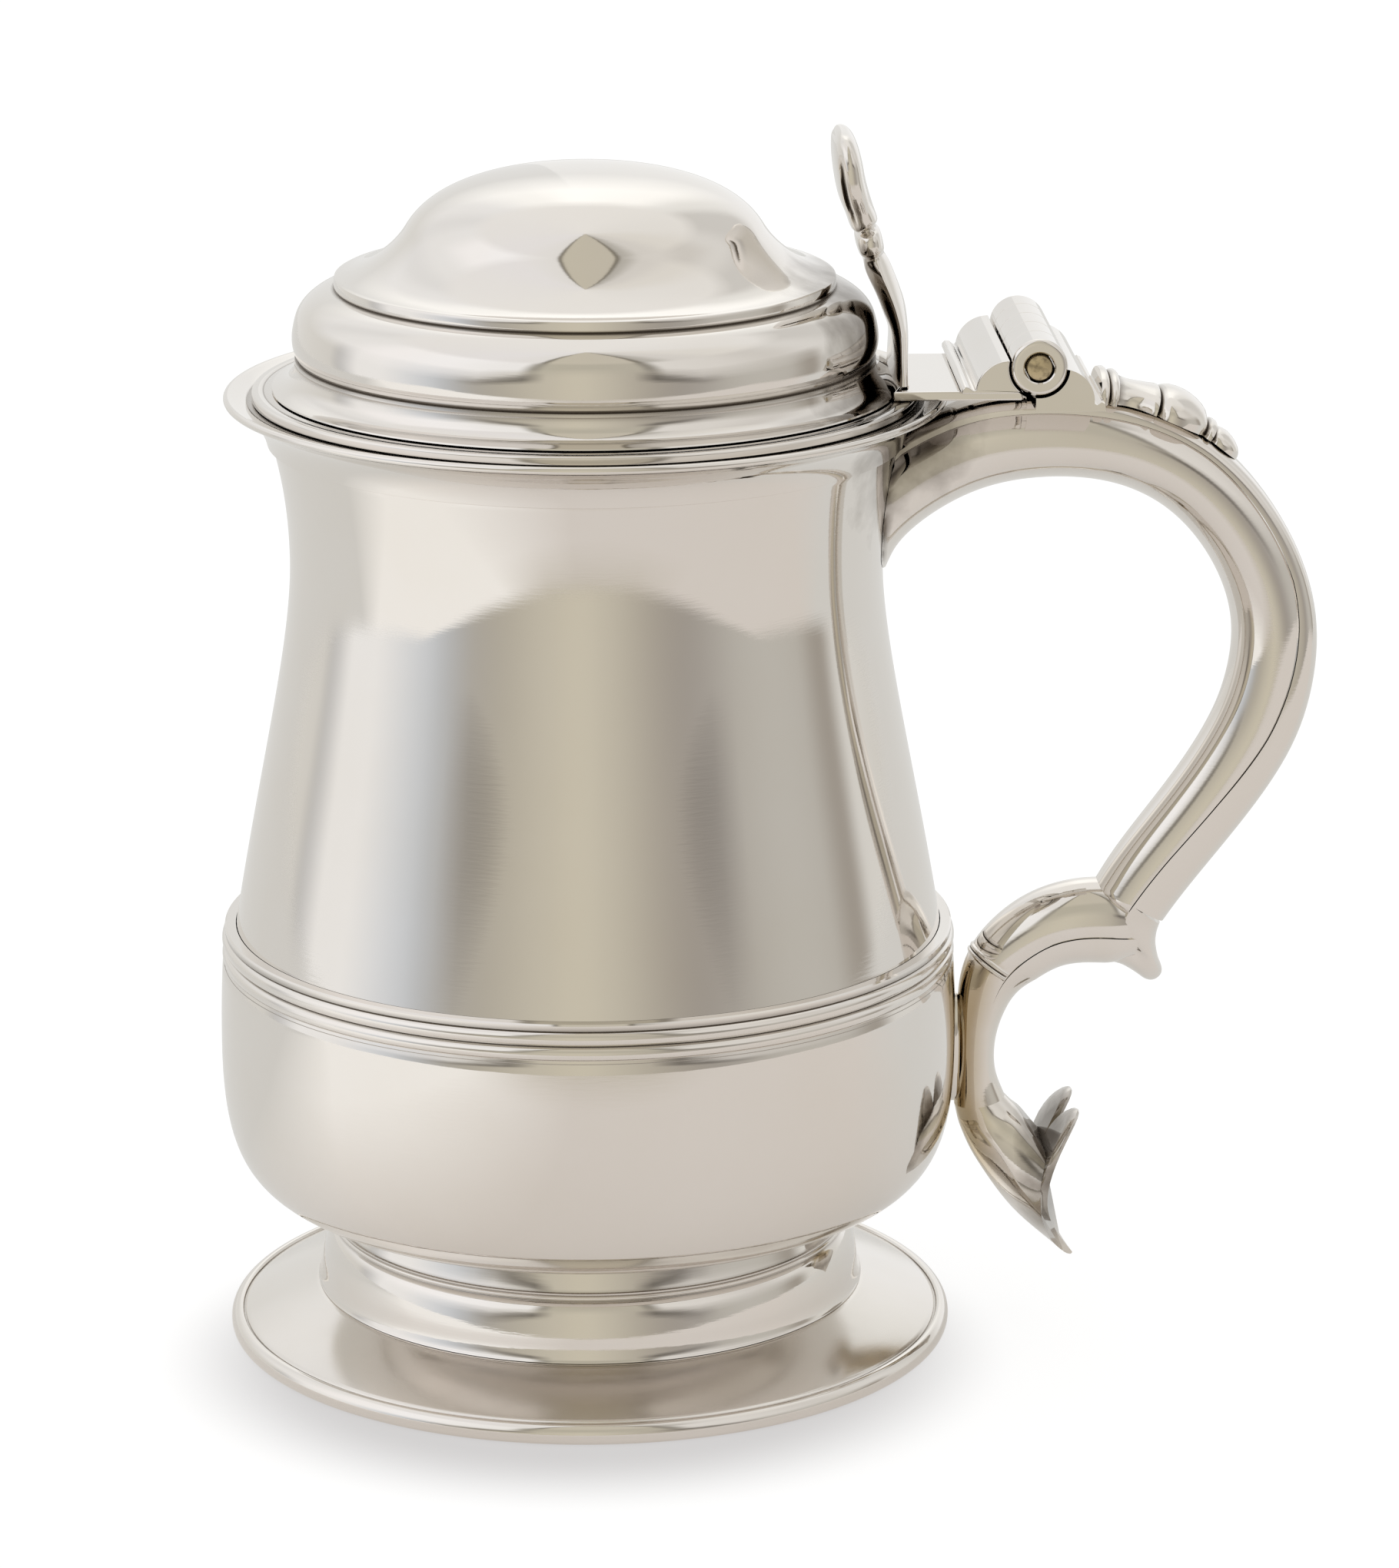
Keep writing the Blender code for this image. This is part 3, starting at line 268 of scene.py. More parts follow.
def trace(name, points, closed):
    """Extrude a vertex along points, and close the line if asked."""
    piece = first_vertex(name, points[0])
    for start, end in zip(points, points[1:]):
        bpy.ops.mesh.extrude_region_move(TRANSFORM_OT_translate={"value": end - start})
    if closed:
        bpy.ops.mesh.extrude_region_move(TRANSFORM_OT_translate={"value": points[0] - points[-1]})
    bpy.ops.mesh.select_all(action='SELECT')
    if closed:
        bpy.ops.mesh.remove_doubles(threshold=MERGE)
    return piece


def close_up(piece, angle=32):
    """Merge doubles, turn the faces outwards, leave edit mode and shade smooth."""
    bpy.ops.mesh.select_all(action='SELECT')
    bpy.ops.mesh.remove_doubles(threshold=MERGE)
    bpy.ops.mesh.normals_make_consistent(inside=False)
    bpy.ops.object.mode_set(mode='OBJECT')
    bpy.ops.object.shade_smooth_by_angle(angle=radians(angle))
    return piece


def turned(name, outline, steps=160):
    """Spin an outline of (radius, height) points in millimetres round the body's axis."""
    points = [world_point(r, 0, z) for r, z in outline]
    on_axis = outline[0][0] == 0 and outline[-1][0] == 0
    piece = trace(name, points, not on_axis)
    bpy.ops.mesh.spin(steps=steps, angle=tau, center=(AXIS_X, 0, 0), axis=(0, 0, 1))
    return close_up(piece)


def loft(name, rings, angle=40):
    """Extrude a traced ring from place to place through rings of the same number of points."""
    rings = [[world_point(*point) for point in ring] for ring in rings]
    piece = trace(name, rings[0], True)
    count = len(rings[0])
    builder = bmesh.from_edit_mesh(piece.data)
    builder.verts.ensure_lookup_table()
    previous = [min(builder.verts, key=lambda v, p=p: (v.co - p).length_squared) for p in rings[0]]
    order = {tuple(v.co): i for i, v in enumerate(previous)}
    for ring in rings[1:]:
        bpy.ops.mesh.extrude_region_move(TRANSFORM_OT_translate={"value": (0, 0, 0)})
        builder = bmesh.from_edit_mesh(piece.data)
        moved = [v for v in builder.verts if v.select]
        places = {order[tuple(v.co)]: v for v in moved}
        for i in range(count):
            places[i].co = ring[i]
        order = {tuple(places[i].co): i for i in range(count)}
        bmesh.update_edit_mesh(piece.data)
    bpy.ops.mesh.select_all(action='SELECT')
    bpy.ops.mesh.fill_holes(sides=0)
    return close_up(piece, angle)


def thick_plate(name, points, way, soften, limit):
    """Fill a traced outline, extrude it one way and soften the edges that bend past a limit in degrees."""
    piece = trace(name, points, True)
    bpy.ops.mesh.edge_face_add()
    bpy.ops.mesh.extrude_region_move(TRANSFORM_OT_translate={"value": way})
    close_up(piece)
    soft = piece.modifiers.new("Soft edges", 'BEVEL')
    soft.width = soften * MM
    soft.segments = 3
    soft.limit_method = 'ANGLE'
    soft.angle_limit = radians(limit)
    bpy.ops.object.modifier_apply(modifier=soft.name)
    bpy.ops.object.shade_smooth_by_angle(angle=radians(40))
    return piece


def slab(name, outline, width):
    """Extrude an outline of (x, z) points in millimetres to both sides of the middle, with flat ends."""
    points = [world_point(x, -width / 2, z) for x, z in outline]
    piece = thick_plate(name, points, (0, width * MM, 0), 0.35, 40)
    for face in piece.data.polygons:
        face.use_smooth = abs(face.normal.y) < 0.999
    return piece


def mark_hollows(piece, blur=3):
    """Store how far each point lies in a hollow, for the tarnish."""
    mesh = piece.data
    count = len(mesh.vertices)
    places = np.empty(count * 3)
    mesh.vertices.foreach_get("co", places)
    places = places.reshape(-1, 3)
    normals = np.empty(count * 3)
    mesh.vertex_normals.foreach_get("vector", normals)
    normals = normals.reshape(-1, 3)
    ends = np.empty(len(mesh.edges) * 2, int)
    mesh.edges.foreach_get("vertices", ends)
    a, b = ends.reshape(-1, 2).T
    step = places[b] - places[a]
    size = np.linalg.norm(step, axis=1) + 1e-9
    bend = np.zeros(count)
    links = np.zeros(count)
    np.add.at(bend, a, (normals[a] * step).sum(1) / size)
    np.add.at(bend, b, -(normals[b] * step).sum(1) / size)
    np.add.at(links, a, 1)
    np.add.at(links, b, 1)
    hollow = np.clip(bend / np.maximum(links, 1), 0, None)
    for _ in range(blur):
        near = np.zeros(count)
        np.add.at(near, a, hollow[b])
        np.add.at(near, b, hollow[a])
        hollow = np.maximum(hollow * 0.9, 0.5 * hollow + 0.5 * near / np.maximum(links, 1))
    stored = mesh.attributes.new("hollow", 'FLOAT', 'POINT')
    stored.data.foreach_set("value", hollow.astype(np.float32))


def mark_tan(piece):
    """Store how far the lower scroll takes a tan colour, laid by place on its side towards the body."""
    places = np.empty(len(piece.data.vertices) * 3)
    piece.data.vertices.foreach_get("co", places)
    x, _, z = (places.reshape(-1, 3).T - np.array([[AXIS_X], [0], [0]])) / MM
    border = np.interp(z, (8, 20, 30, 40, 50, 60, 63), (74, 70, 68.2, 66, 66.2, 68.5, 70))
    tan = np.clip((border - x) / 3.4, 0, 1) * np.clip((62.6 - z) / 0.8, 0, 1)
    stored = piece.data.attributes.new("tan", 'FLOAT', 'POINT')
    stored.data.foreach_set("value", tan.astype(np.float32))


def fit(piece, body, finish, *nodes):
    """Give a piece its finish, the body that carries it and the nodes it stands for."""
    mark_hollows(piece)
    piece.data.materials.clear()
    piece.data.materials.append(finish)
    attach(piece, body)
    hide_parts(*nodes)
    return piece


def node(tree, kind, inputs=(), **settings):
    """Add a shader node with its settings and its input values or links."""
    made = tree.nodes.new(kind)
    for key, value in settings.items():
        setattr(made, key, value)
    for key, value in dict(inputs).items():
        if isinstance(value, bpy.types.NodeSocket):
            tree.links.new(value, made.inputs[key])
        else:
            made.inputs[key].default_value = value
    return made


def ramp(tree, factor, stops, blend='LINEAR'):
    """Add a colour ramp with stops of (place, grey or colour)."""
    made = node(tree, "ShaderNodeValToRGB", {"Fac": factor})
    made.color_ramp.interpolation = blend
    marks = made.color_ramp.elements
    while len(marks) < len(stops):
        marks.new(0.5)
    for mark, (place, value) in zip(marks, stops):
        mark.position = place
        mark.color = (*value, 1) if isinstance(value, tuple) else (value, value, value, 1)
    return made.outputs["Color"]


def mix(tree, factor, first, second):
    """Mix two colours by a factor."""
    made = node(tree, "ShaderNodeMix", data_type='RGBA')
    for socket, value in ((made.inputs[0], factor), (made.inputs[6], first), (made.inputs[7], second)):
        if isinstance(value, bpy.types.NodeSocket):
            tree.links.new(value, socket)
        else:
            socket.default_value = (*value, 1) if isinstance(value, tuple) else value
    return made.outputs[2]


def calc(tree, operation, *values):
    """Add a sum of numbers."""
    return node(tree, "ShaderNodeMath", dict(enumerate(values)), operation=operation).outputs[0]


def calc_vector(tree, operation, *values):
    """Add a sum of vectors."""
    made = node(tree, "ShaderNodeVectorMath", dict(enumerate(values)), operation=operation)
    return made.outputs["Value" if operation == 'LENGTH' else "Vector"]


def between(tree, value, start, end, blend='LINEAR'):
    """Add a factor that goes from 0 to 1 as a value goes from start to end."""
    return node(tree, "ShaderNodeMapRange", {"Value": value, "From Min": start, "From Max": end},
                interpolation_type=blend).outputs[0]


def noise(tree, place, scale, detail, roughness=0.5):
    """Add cloudy noise."""
    return node(tree, "ShaderNodeTexNoise", {"Vector": place, "Scale": scale, "Detail": detail,
                                             "Roughness": roughness}).outputs["Fac"]


def new_finish(name):
    """Start a material and return it with its tree, its shader and the place on the piece."""
    finish = bpy.data.materials.new(name)
    finish.use_nodes = True
    tree = finish.node_tree
    return finish, tree, tree.nodes["Principled BSDF"], node(tree, "ShaderNodeTexCoord").outputs["Object"]


def silver_finish(context, name):
    """Make a silver with a breath of tarnish, rubbed patches, fine scratches and dark hollows."""
    if name in bpy.data.materials:
        return bpy.data.materials[name]
    settings = context.scene.tankard_finish
    tarnish = tuple(settings.tarnish)
    warmth, dirt, dark_patch, wear = SILVERS[name]
    finish, tree, shader, place = new_finish(name)
    cloud = noise(tree, place, 26.0, 5.0, 0.6)
    patches = ramp(tree, cloud, ((0.38, 0.0), (0.72, warmth)))
    base = mix(tree, patches, tuple(settings.silver), tuple(settings.warm))
    tan = node(tree, "ShaderNodeAttribute", attribute_name="tan").outputs["Fac"]
    # Tan laid by place on the side towards the body, mottled by noise.
    mottled = calc(tree, 'MULTIPLY', tan, ramp(tree, cloud, ((0.3, 0.65), (0.7, 1.0))))
    base = mix(tree, mottled, base, tuple(settings.tan))
    hollow = node(tree, "ShaderNodeAttribute", attribute_name="hollow").outputs["Fac"]
    depth = ramp(tree, hollow, ((0.03, 0.0), (0.16, 0.8 * dirt)))
    # A ragged dark patch round the given place, fading away from it.
    if dark_patch:
        middle, fall = dark_patch
        offset = calc_vector(tree, 'SUBTRACT', place, middle)
        reach = calc_vector(tree, 'LENGTH', calc_vector(tree, 'MULTIPLY', offset, fall))
        ragged = calc(tree, 'MULTIPLY_ADD', noise(tree, place, 150.0, 4.0), 0.9, reach)
        patch_share = ramp(tree, between(tree, ragged, 0.6, 1.7), ((0.3, 0.92), (0.6, 0.55), (1.0, 0.0)))
        base = mix(tree, patch_share, base, tarnish)
    tree.links.new(mix(tree, depth, base, tarnish), shader.inputs["Base Color"])
    dull = settings.polish * wear
    rub = ramp(tree, noise(tree, place, 95.0, 6.0), ((0.3, dull * 0.8), (0.75, dull * 1.35)))
    tree.links.new(mix(tree, depth, rub, (0.45, 0.45, 0.45)), shader.inputs["Roughness"])
    stretch = node(tree, "ShaderNodeMapping", {"Vector": place, "Scale": (260.0, 260.0, 2400.0)})
    scratch = noise(tree, stretch.outputs["Vector"], 1.0, 3.0)
    fine = node(tree, "ShaderNodeBump", {"Height": scratch, "Strength": 0.02, "Distance": 0.0002})
    wavy = node(tree, "ShaderNodeBump", {"Height": noise(tree, place, 42.0, 1.0), "Strength": 0.05,
                                         "Distance": 0.0006, "Normal": fine.outputs["Normal"]})
    tree.links.new(wavy.outputs["Normal"], shader.inputs["Normal"])
    shader.inputs["Metallic"].default_value = 1.0
    return finish


def brass_finish(context):
    """Make worn brass with darker specks."""
    settings = context.scene.tankard_finish
    finish, tree, shader, place = new_finish("worn_brass")
    speck = noise(tree, place, 900.0, 4.0)
    share = ramp(tree, speck, ((0.45, 0.0), (0.7, 0.6)))
    colours = mix(tree, share, tuple(settings.brass), tuple(settings.tarnish))
    tree.links.new(colours, shader.inputs["Base Color"])
    tree.links.new(ramp(tree, speck, ((0.3, 0.28), (0.7, 0.5))), shader.inputs["Roughness"])
    shader.inputs["Metallic"].default_value = 1.0
    return finish


def body_outline(s):
    """Return the outer outline of the body, from the middle of its bottom up to the mouth."""
    behind = s.belly_radius - 1.5
    middle = s.girdle_bottom + s.girdle_depth / 2
    rise = s.waist_height - middle
    neck_z = s.mouth_height - s.lip_depth
    neck = neck_z - s.waist_height
    outline = bezier((0, s.bottom + 1.5), (15, s.bottom + 1.4), (30, s.bottom + 0.2),
                     (s.seat_radius, s.bottom), 8)
    outline += bezier((s.seat_radius, s.bottom), (s.belly_radius * 0.92, s.bottom + 1.2),
                      (s.belly_radius, s.bottom + 5.0), (s.belly_radius, s.belly_height), 26)[1:]
    outline += bezier((s.belly_radius, s.belly_height), (s.belly_radius, s.belly_height + 5.0),
                      (s.belly_radius - 0.1, s.girdle_bottom - 4.0),
                      (s.belly_radius - 0.4, s.girdle_bottom + 0.6), 10)[1:]
    outline += bezier((behind - 0.7, middle), (behind - 5.2, middle + rise * 0.44),
                      (s.waist_radius, s.waist_height - rise * 0.22), (s.waist_radius, s.waist_height), 30)
    outline += bezier((s.waist_radius, s.waist_height), (s.waist_radius, s.waist_height + neck * 0.45),
                      (s.mouth_radius - 1.4, neck_z - neck * 0.25), (s.mouth_radius - 0.2, neck_z), 14)[1:]
    outline.append((s.mouth_radius, s.mouth_height - 0.3))
    return outline


class TANKARD_OT_body(bpy.types.Operator):
    """Turn the raised body with its even wall"""
    bl_idname = "tankard.body"
    bl_label = "Body"

    def execute(self, context):
        s = in_mm(context.scene.tankard_body)
        outside = body_outline(s)
        inside = beside(outside, s.wall)
        inside[0] = (0, inside[0][1])
        inside[-1] = (inside[-1][0], outside[-1][1])
        body = turned("body", outside + inside[::-1])
        fit(body, "vessel", silver_finish(context, "polished_silver"), "body_shell")
        return {'FINISHED'}


class TANKARD_OT_lip(bpy.types.Operator):
    """Turn the everted lip that is soldered round the mouth"""
    bl_idname = "tankard.lip"
    bl_label = "Lip"

    def execute(self, context):
        s = in_mm(context.scene.tankard_body)
        inner = s.mouth_radius + 0.3
        low = s.mouth_height - s.lip_depth
        edge = 0.62
        flare = bezier((inner + 0.35, low), (inner + 1.2, low + s.lip_depth * 0.55),
                       (s.lip_radius - 3.4, s.mouth_height - 1.3),
                       (s.lip_radius - edge, s.mouth_height - 0.3), 18)
        rim = arc((s.lip_radius - edge, s.mouth_height + edge - 0.3), edge, -90, 120, 8)
        step = s.lip_radius - 3.6
        outline = [(inner, low - 0.15)] + flare + rim[1:]
        outline += bezier(rim[-1], (s.lip_radius - 1.6, s.mouth_height + 0.7),
                          (step + 0.6, s.mouth_height + 0.5), (step, s.mouth_height + 0.15), 6)[1:]
        outline += [(step - 0.2, s.mouth_height), (inner, s.mouth_height)]
        fit(turned("lip", outline), "vessel", silver_finish(context, "polished_silver"), "lip_moulding")
        return {'FINISHED'}


class TANKARD_OT_girdle(bpy.types.Operator):
    """Turn the girdle: two reeds between fillets"""
    bl_idname = "tankard.girdle"
    bl_label = "Girdle"

    def execute(self, context):
        s = in_mm(context.scene.tankard_body)
        low = s.girdle_bottom
        high = low + s.girdle_depth
        reed = s.girdle_depth * 0.34
        fillet = s.girdle_depth * 0.16
        groove = s.girdle_radius - 0.85
        outline = [(s.belly_radius - 1.1, low), (groove + 0.55, low), (groove + 0.65, low + 0.15),
                   (groove + 0.65, low + fillet - 0.15), (groove, low + fillet)]
        for start in (low + fillet, low + fillet + reed):
            middle = (s.girdle_radius - reed * 0.52, start + reed / 2)
            outline += arc(middle, reed * 0.52, -66, 66, 9)
            outline.append((groove, start + reed))
        outline += [(groove + 0.35, high - fillet + 0.1), (groove + 0.35, high - 0.25), (groove + 0.1, high),
                    (s.belly_radius - 2.7, high)]
        fit(turned("girdle", outline), "vessel", silver_finish(context, "polished_silver"), "girdle_band")
        return {'FINISHED'}


class TANKARD_OT_foot(bpy.types.Operator):
    """Turn the neck, the spreading foot and the wire that it stands on"""
    bl_idname = "tankard.foot"
    bl_label = "Foot"

    def execute(self, context):
        s = in_mm(context.scene.tankard_foot)
        silver = silver_finish(context, "rubbed_silver")
        fit(turned("foot_neck", self.neck(s)), "vessel", silver, "foot_collar")
        worn = silver_finish(context, "worn_silver")
        fit(turned("foot_spread", self.spread(s)), "vessel", worn, "foot_flange")
        fit(turned("foot_rim", self.rim(s)), "vessel", silver, "foot_wire")
        return {'FINISHED'}

    @staticmethod
    def neck(s):
        """Return the moulded neck: an ogee that sweeps out, two fine fillets and a cavetto."""
        top = s.neck_top
        low = s.spread_top + 0.05
        waist = s.neck_waist
        base = s.neck_radius
        swell = waist + 2.1
        outline = [(waist - 3.8, low), (base - 0.2, low), (base, low + 0.15), (base - 0.06, low + 0.32)]
        outline += bezier((base - 0.1, low + 0.36), (base - 0.6, low + 1.55),
                          (swell + 0.23, low + 3.0), (swell, low + 4.3), 12)
        outline += bezier((swell, low + 4.3), (swell - 0.38, low + 6.5),
                          (waist + 1.2, low + 9.0), (waist + 0.25, low + 9.6), 14)[1:]
        outline += [(waist + 0.12, low + 9.75), (waist + 0.26, low + 9.85)]
        outline += arc((waist + 0.05, low + 10.25), 0.4, -60, 60, 5)
        outline += [(waist + 0.12, low + 10.7), (waist + 0.24, low + 10.8), (waist + 0.24, low + 11.05)]
        outline += bezier((waist - 0.1, low + 11.15), (waist - 0.55, low + 12.3),
                          (waist - 0.95, top - 1.6), (waist - 1.4, top), 12)
        outline.append((waist - 3.8, top))
        return outline

    @staticmethod
    def spread(s):
        """Return the spreading foot with its hollow underside."""
        edge = s.radius - 2.35
        hole = s.neck_radius - 3.7
        low = s.wire_height - 0.6
        top = s.spread_top
        sweep = bezier((s.neck_radius + 0.1, top), (s.neck_radius + 3.9, top - 1.55),
                       (edge - 3.8, low + 2.1), (edge - 0.1, low + 0.35), 20)
        under = bezier((edge - 2.0, low), (edge - 7.0, low), (s.neck_radius + 1.0, top - 3.5),
                       (s.neck_radius - 1.0, top - 1.2), 10)
        return [(hole, top)] + sweep + [(edge, low + 0.2), (edge, low)] + under + [(hole, top - 1.2)]

    @staticmethod
    def rim(s):
        """Return the wire: a half-round bead with a flat shoulder inside it."""
        inner = s.radius - s.wire_width
        top = s.wire_height - 0.65
        outline = [(inner, 0), (s.radius - 1.3, 0), (s.radius - 0.75, 0.12)]
        outline += bezier((s.radius - 0.75, 0.12), (s.radius - 0.1, 0.5),
                          (s.radius, 1.0), (s.radius, 1.55), 7)[1:]
        outline += bezier((s.radius, 1.55), (s.radius, 2.6), (s.radius - 0.8, s.wire_height - 0.05),
                          (s.radius - 1.45, s.wire_height - 0.05), 10)[1:]
        outline += bezier((s.radius - 1.45, s.wire_height - 0.05), (s.radius - 1.85, s.wire_height - 0.05),
                          (s.radius - 2.0, s.wire_height - 0.25), (s.radius - 2.1, top), 5)[1:]
        outline.append((inner, top))
        return outline


class TANKARD_OT_lid(bpy.types.Operator):
    """Turn the domed cover, its flange and its bezel"""
    bl_idname = "tankard.lid"
    bl_label = "Lid"

    def execute(self, context):
        s = in_mm(context.scene.tankard_lid)
        silver = silver_finish(context, "polished_silver")
        outside = self.outside(s)
        inside = [p for p in beside(outside, -s.wall) if p[1] > s.base + s.cavetto + 1.2]
        inside[0] = (0, inside[0][1])
        bore = s.ovolo_radius - 2.0
        wall = inside + [(bore, s.base + s.cavetto), (bore, s.base)]
        fit(turned("lid_cover_dome", outside + wall[::-1]), "lid", silver, "lid_cover")
        low = s.flange_low - 0.42
        high = s.base - 0.3
        ring = [(bore - 0.5, low), (s.flange_radius - 0.15, low), (s.flange_radius, low + 0.15)]
        ring += arc((s.flange_radius - 0.45, high - 0.45), 0.45, 0, 90, 5)
        ring += [(s.flange_radius - 1.7, high), (s.flange_radius - 1.9, high - 0.08),
                 (s.flange_radius - 2.1, high), (bore - 0.5, high)]
        fit(turned("lid_ring", ring), "lid", silver, "lid_flange")
        top = s.flange_low - 0.3
        collar = [(s.bezel_radius - 1.0, top), (s.bezel_radius, top), (s.bezel_radius, top - 4.6),
                  (s.bezel_radius - 0.4, top - 5.0), (s.bezel_radius - 1.0, top - 5.0)]
        fit(turned("lid_inner_ring", collar), "lid", silver, "lid_bezel")
        return {'FINISHED'}

    @staticmethod
    def outside(s):
        """Return the cover's outer outline, from the middle of its dome down to its base."""
        ovolo_low = s.base + s.cavetto
        step = ovolo_low + s.ovolo
        dome_z = step + s.skirt
        crown = dome_z + s.dome
        outline = bezier((0, crown), (s.dome_radius * 0.727, crown),
                         (s.dome_radius - 2.09, dome_z + 3.41), (s.dome_radius, dome_z), 40)
        brow = (s.skirt_radius - 0.25, step + 1.85)
        outline += bezier((s.dome_radius, dome_z), (s.dome_radius + 2.35, dome_z - 3.84),
                          (brow[0] - 4.46, brow[1] + 0.63), brow, 30)[1:]
        outline += [(s.skirt_radius - 0.02, step + 1.72), (s.skirt_radius + 0.1, step + 1.35),
                    (s.skirt_radius + 0.12, step + 0.5), (s.skirt_radius + 0.06, step + 0.2),
                    (s.skirt_radius - 0.08, step)]
        side = (s.ovolo_radius - 0.75, step - 4.8)
        outline += bezier((s.skirt_radius + 0.2, step - 0.15), (s.skirt_radius + 2.8, step - 0.7),
                          (side[0] - 0.78, side[1] + 2.6), side, 16)
        outline += bezier(side, (side[0] + 0.58, side[1] - 1.93), (s.ovolo_radius + 0.35, ovolo_low + 2.8),
                          (s.ovolo_radius - 0.9, ovolo_low + 0.85), 14)[1:]
        outline += [(s.ovolo_radius - 1.0, ovolo_low + 0.7), (s.ovolo_radius - 0.55, ovolo_low + 0.58),
                    (s.ovolo_radius - 0.5, ovolo_low + 0.1)]
        outline += bezier((s.ovolo_radius - 0.55, ovolo_low),
                          (s.ovolo_radius - 0.4, s.base + s.cavetto * 0.4),
                          (s.ovolo_radius + 0.6, s.base + 0.8), (s.flange_radius - 3.3, s.base + 0.25), 12)
        outline.append((s.flange_radius - 3.2, s.base))
        return outline


def frames(path):
    """Return each point of a path in the XZ plane with its left-hand normal."""
    stations = []
    for i, point in enumerate(path):
        before = path[max(i - 1, 0)]
        after = path[min(i + 1, len(path) - 1)]
        run = hypot(after[0] - before[0], after[1] - before[1])
        stations.append((point[:2], (-(after[1] - before[1]) / run, (after[0] - before[0]) / run)))
    return stations


def ring_at(station, section):
    """Place a section of (across, outward) points at a station of a path."""
    point, normal = station
    return [(point[0] + v * normal[0], u, point[1] + v * normal[1]) for u, v in section]


def soft_box(half_width, half_thickness, square=2.0, crease=0.0, steps=48):
    """Return a section between an oval and a box, with a crease down both sides if asked."""
    section = []
    for i in range(steps):
        angle = tau * i / steps
        u = half_width * copysign(abs(cos(angle)) ** (2 / square), cos(angle))
        v = half_thickness * copysign(abs(sin(angle)) ** (2 / square), sin(angle))
        dip = crease * exp(-((v / half_thickness - 0.6) / 0.15) ** 2)
        section.append((u - copysign(min(dip, abs(u) * 0.5), u), v))
    return section


def trough(half_width, half_thickness, seam, steps=34):
    """Return the round-backed half of a handle, closed along the seam."""
    lift = seam / half_thickness
    start = atan2(lift, (1 - lift * lift) ** 0.5)
    sweep = [start - (pi + 2 * start) * i / steps for i in range(steps + 1)]
    return [(half_width * cos(a), half_thickness * sin(a)) for a in sweep]


def cap_strip(half_width, half_thickness, seam, bold=1.0, steps=22):
    """Return the domed strip over the seam: bold with proud edges, or flush with the round back."""
    rise = half_thickness - seam
    half = half_width * (1 - (seam / half_thickness) ** 2) ** 0.5 + 0.3
    start = asin(seam / half_thickness)
    section = []
    for i in range(steps + 1):
        angle = pi * i / steps
        flush = start + (pi - 2 * start) * i / steps
        domed = (half * copysign(abs(cos(angle)) ** 0.55, cos(angle)), seam + 0.1 + rise * sin(angle) ** 0.8)
        level = (half_width * cos(flush), half_thickness * sin(flush))
        section.append(tuple(b + (a - b) * bold for a, b in zip(domed, level)))
    return section


def upper_spine(h):
    """Return the middle line of the upper scroll as (x, z, half thickness, half width)."""
    t = h.thickness / 2
    w = h.width / 2
    out = h.reach - t
    crest = h.top - t - 0.2
    shape = ((71.2, 19.0, 1.1, 1.0), (69.5, 14.7, 1.1, 1.0), (65.3, 9.6, 1.1, 1.0),
             (56.3, 3.6, 1.1, 1.0), (48.5, 0.9, 1.1, 1.0), (40.3, 0.1, 1.03, 1.0),
             (30.9, 0.4, 1.0, 1.0), (23.6, 2.2, 1.0, 1.0), (18.3, 4.7, 0.99, 0.99),
             (13.0, 8.1, 0.98, 0.98), (7.0, 14.6, 0.97, 0.96), (2.5, 22.6, 0.98, 0.94),
             (0.4, 30.0, 1.0, 0.93), (0.0, 36.4, 1.01, 0.92), (1.4, 44.8, 1.03, 0.9),
             (3.7, 50.8, 1.03, 0.88), (8.0, 58.1, 1.0, 0.86), (13.5, 65.6, 0.97, 0.84),
             (20.7, 74.6, 0.97, 0.82), (23.3, 79.1, 0.94, 0.8))
    knots = [(out - back, crest - drop, t * thick, w * wide) for back, drop, thick, wide in shape]
    return ease(smooth_path(knots, 5), 24)


def lower_spine(h):
    """Return the middle line of the lower scroll as (x, z, half thickness, half width)."""
    t = h.lower_thickness / 2
    w = h.lower_width / 2
    shape = ((91.5, 67.8, 0.82, 0.8), (88.5, 68.4, 1.05, 0.95), (85.5, 68.8, 1.1, 1.0),
             (81.0, 68.7, 1.07, 1.0), (76.3, 67.5, 1.02, 0.96), (72.2, 65.0, 0.97, 0.91),
             (68.6, 61.6, 0.89, 0.85), (66.4, 57.4, 0.76, 0.79), (65.1, 52.0, 0.58, 0.74),
             (64.6, 47.0, 0.5, 0.72), (64.7, 42.0, 0.52, 0.73), (65.4, 37.5, 0.68, 0.79))
    knots = [(x, z, t * thick, w * wide) for x, z, thick, wide in shape]
    return ease(smooth_path(knots, 6), 10)


def ease(path, rounds):
    """Even out the bends of a path between its ends."""
    for _ in range(rounds):
        middle = [tuple((a + 2 * b + c) / 4 for a, b, c in zip(*trio))
                  for trio in zip(path, path[1:], path[2:])]
        path = [path[0]] + middle + [path[-1]]
    return path


def keep_outside(ring, outline):
    """Push the points of a ring that lie inside the body out to just off its surface."""
    heights = [z for _, z in outline]
    sizes = [r for r, _ in outline]
    kept = []
    for x, y, z in ring:
        least = np.interp(z, heights, sizes) + 0.05
        grow = max(1, least / max(hypot(x, y), 1))
        kept.append((x * grow, y * grow, z))
    return kept


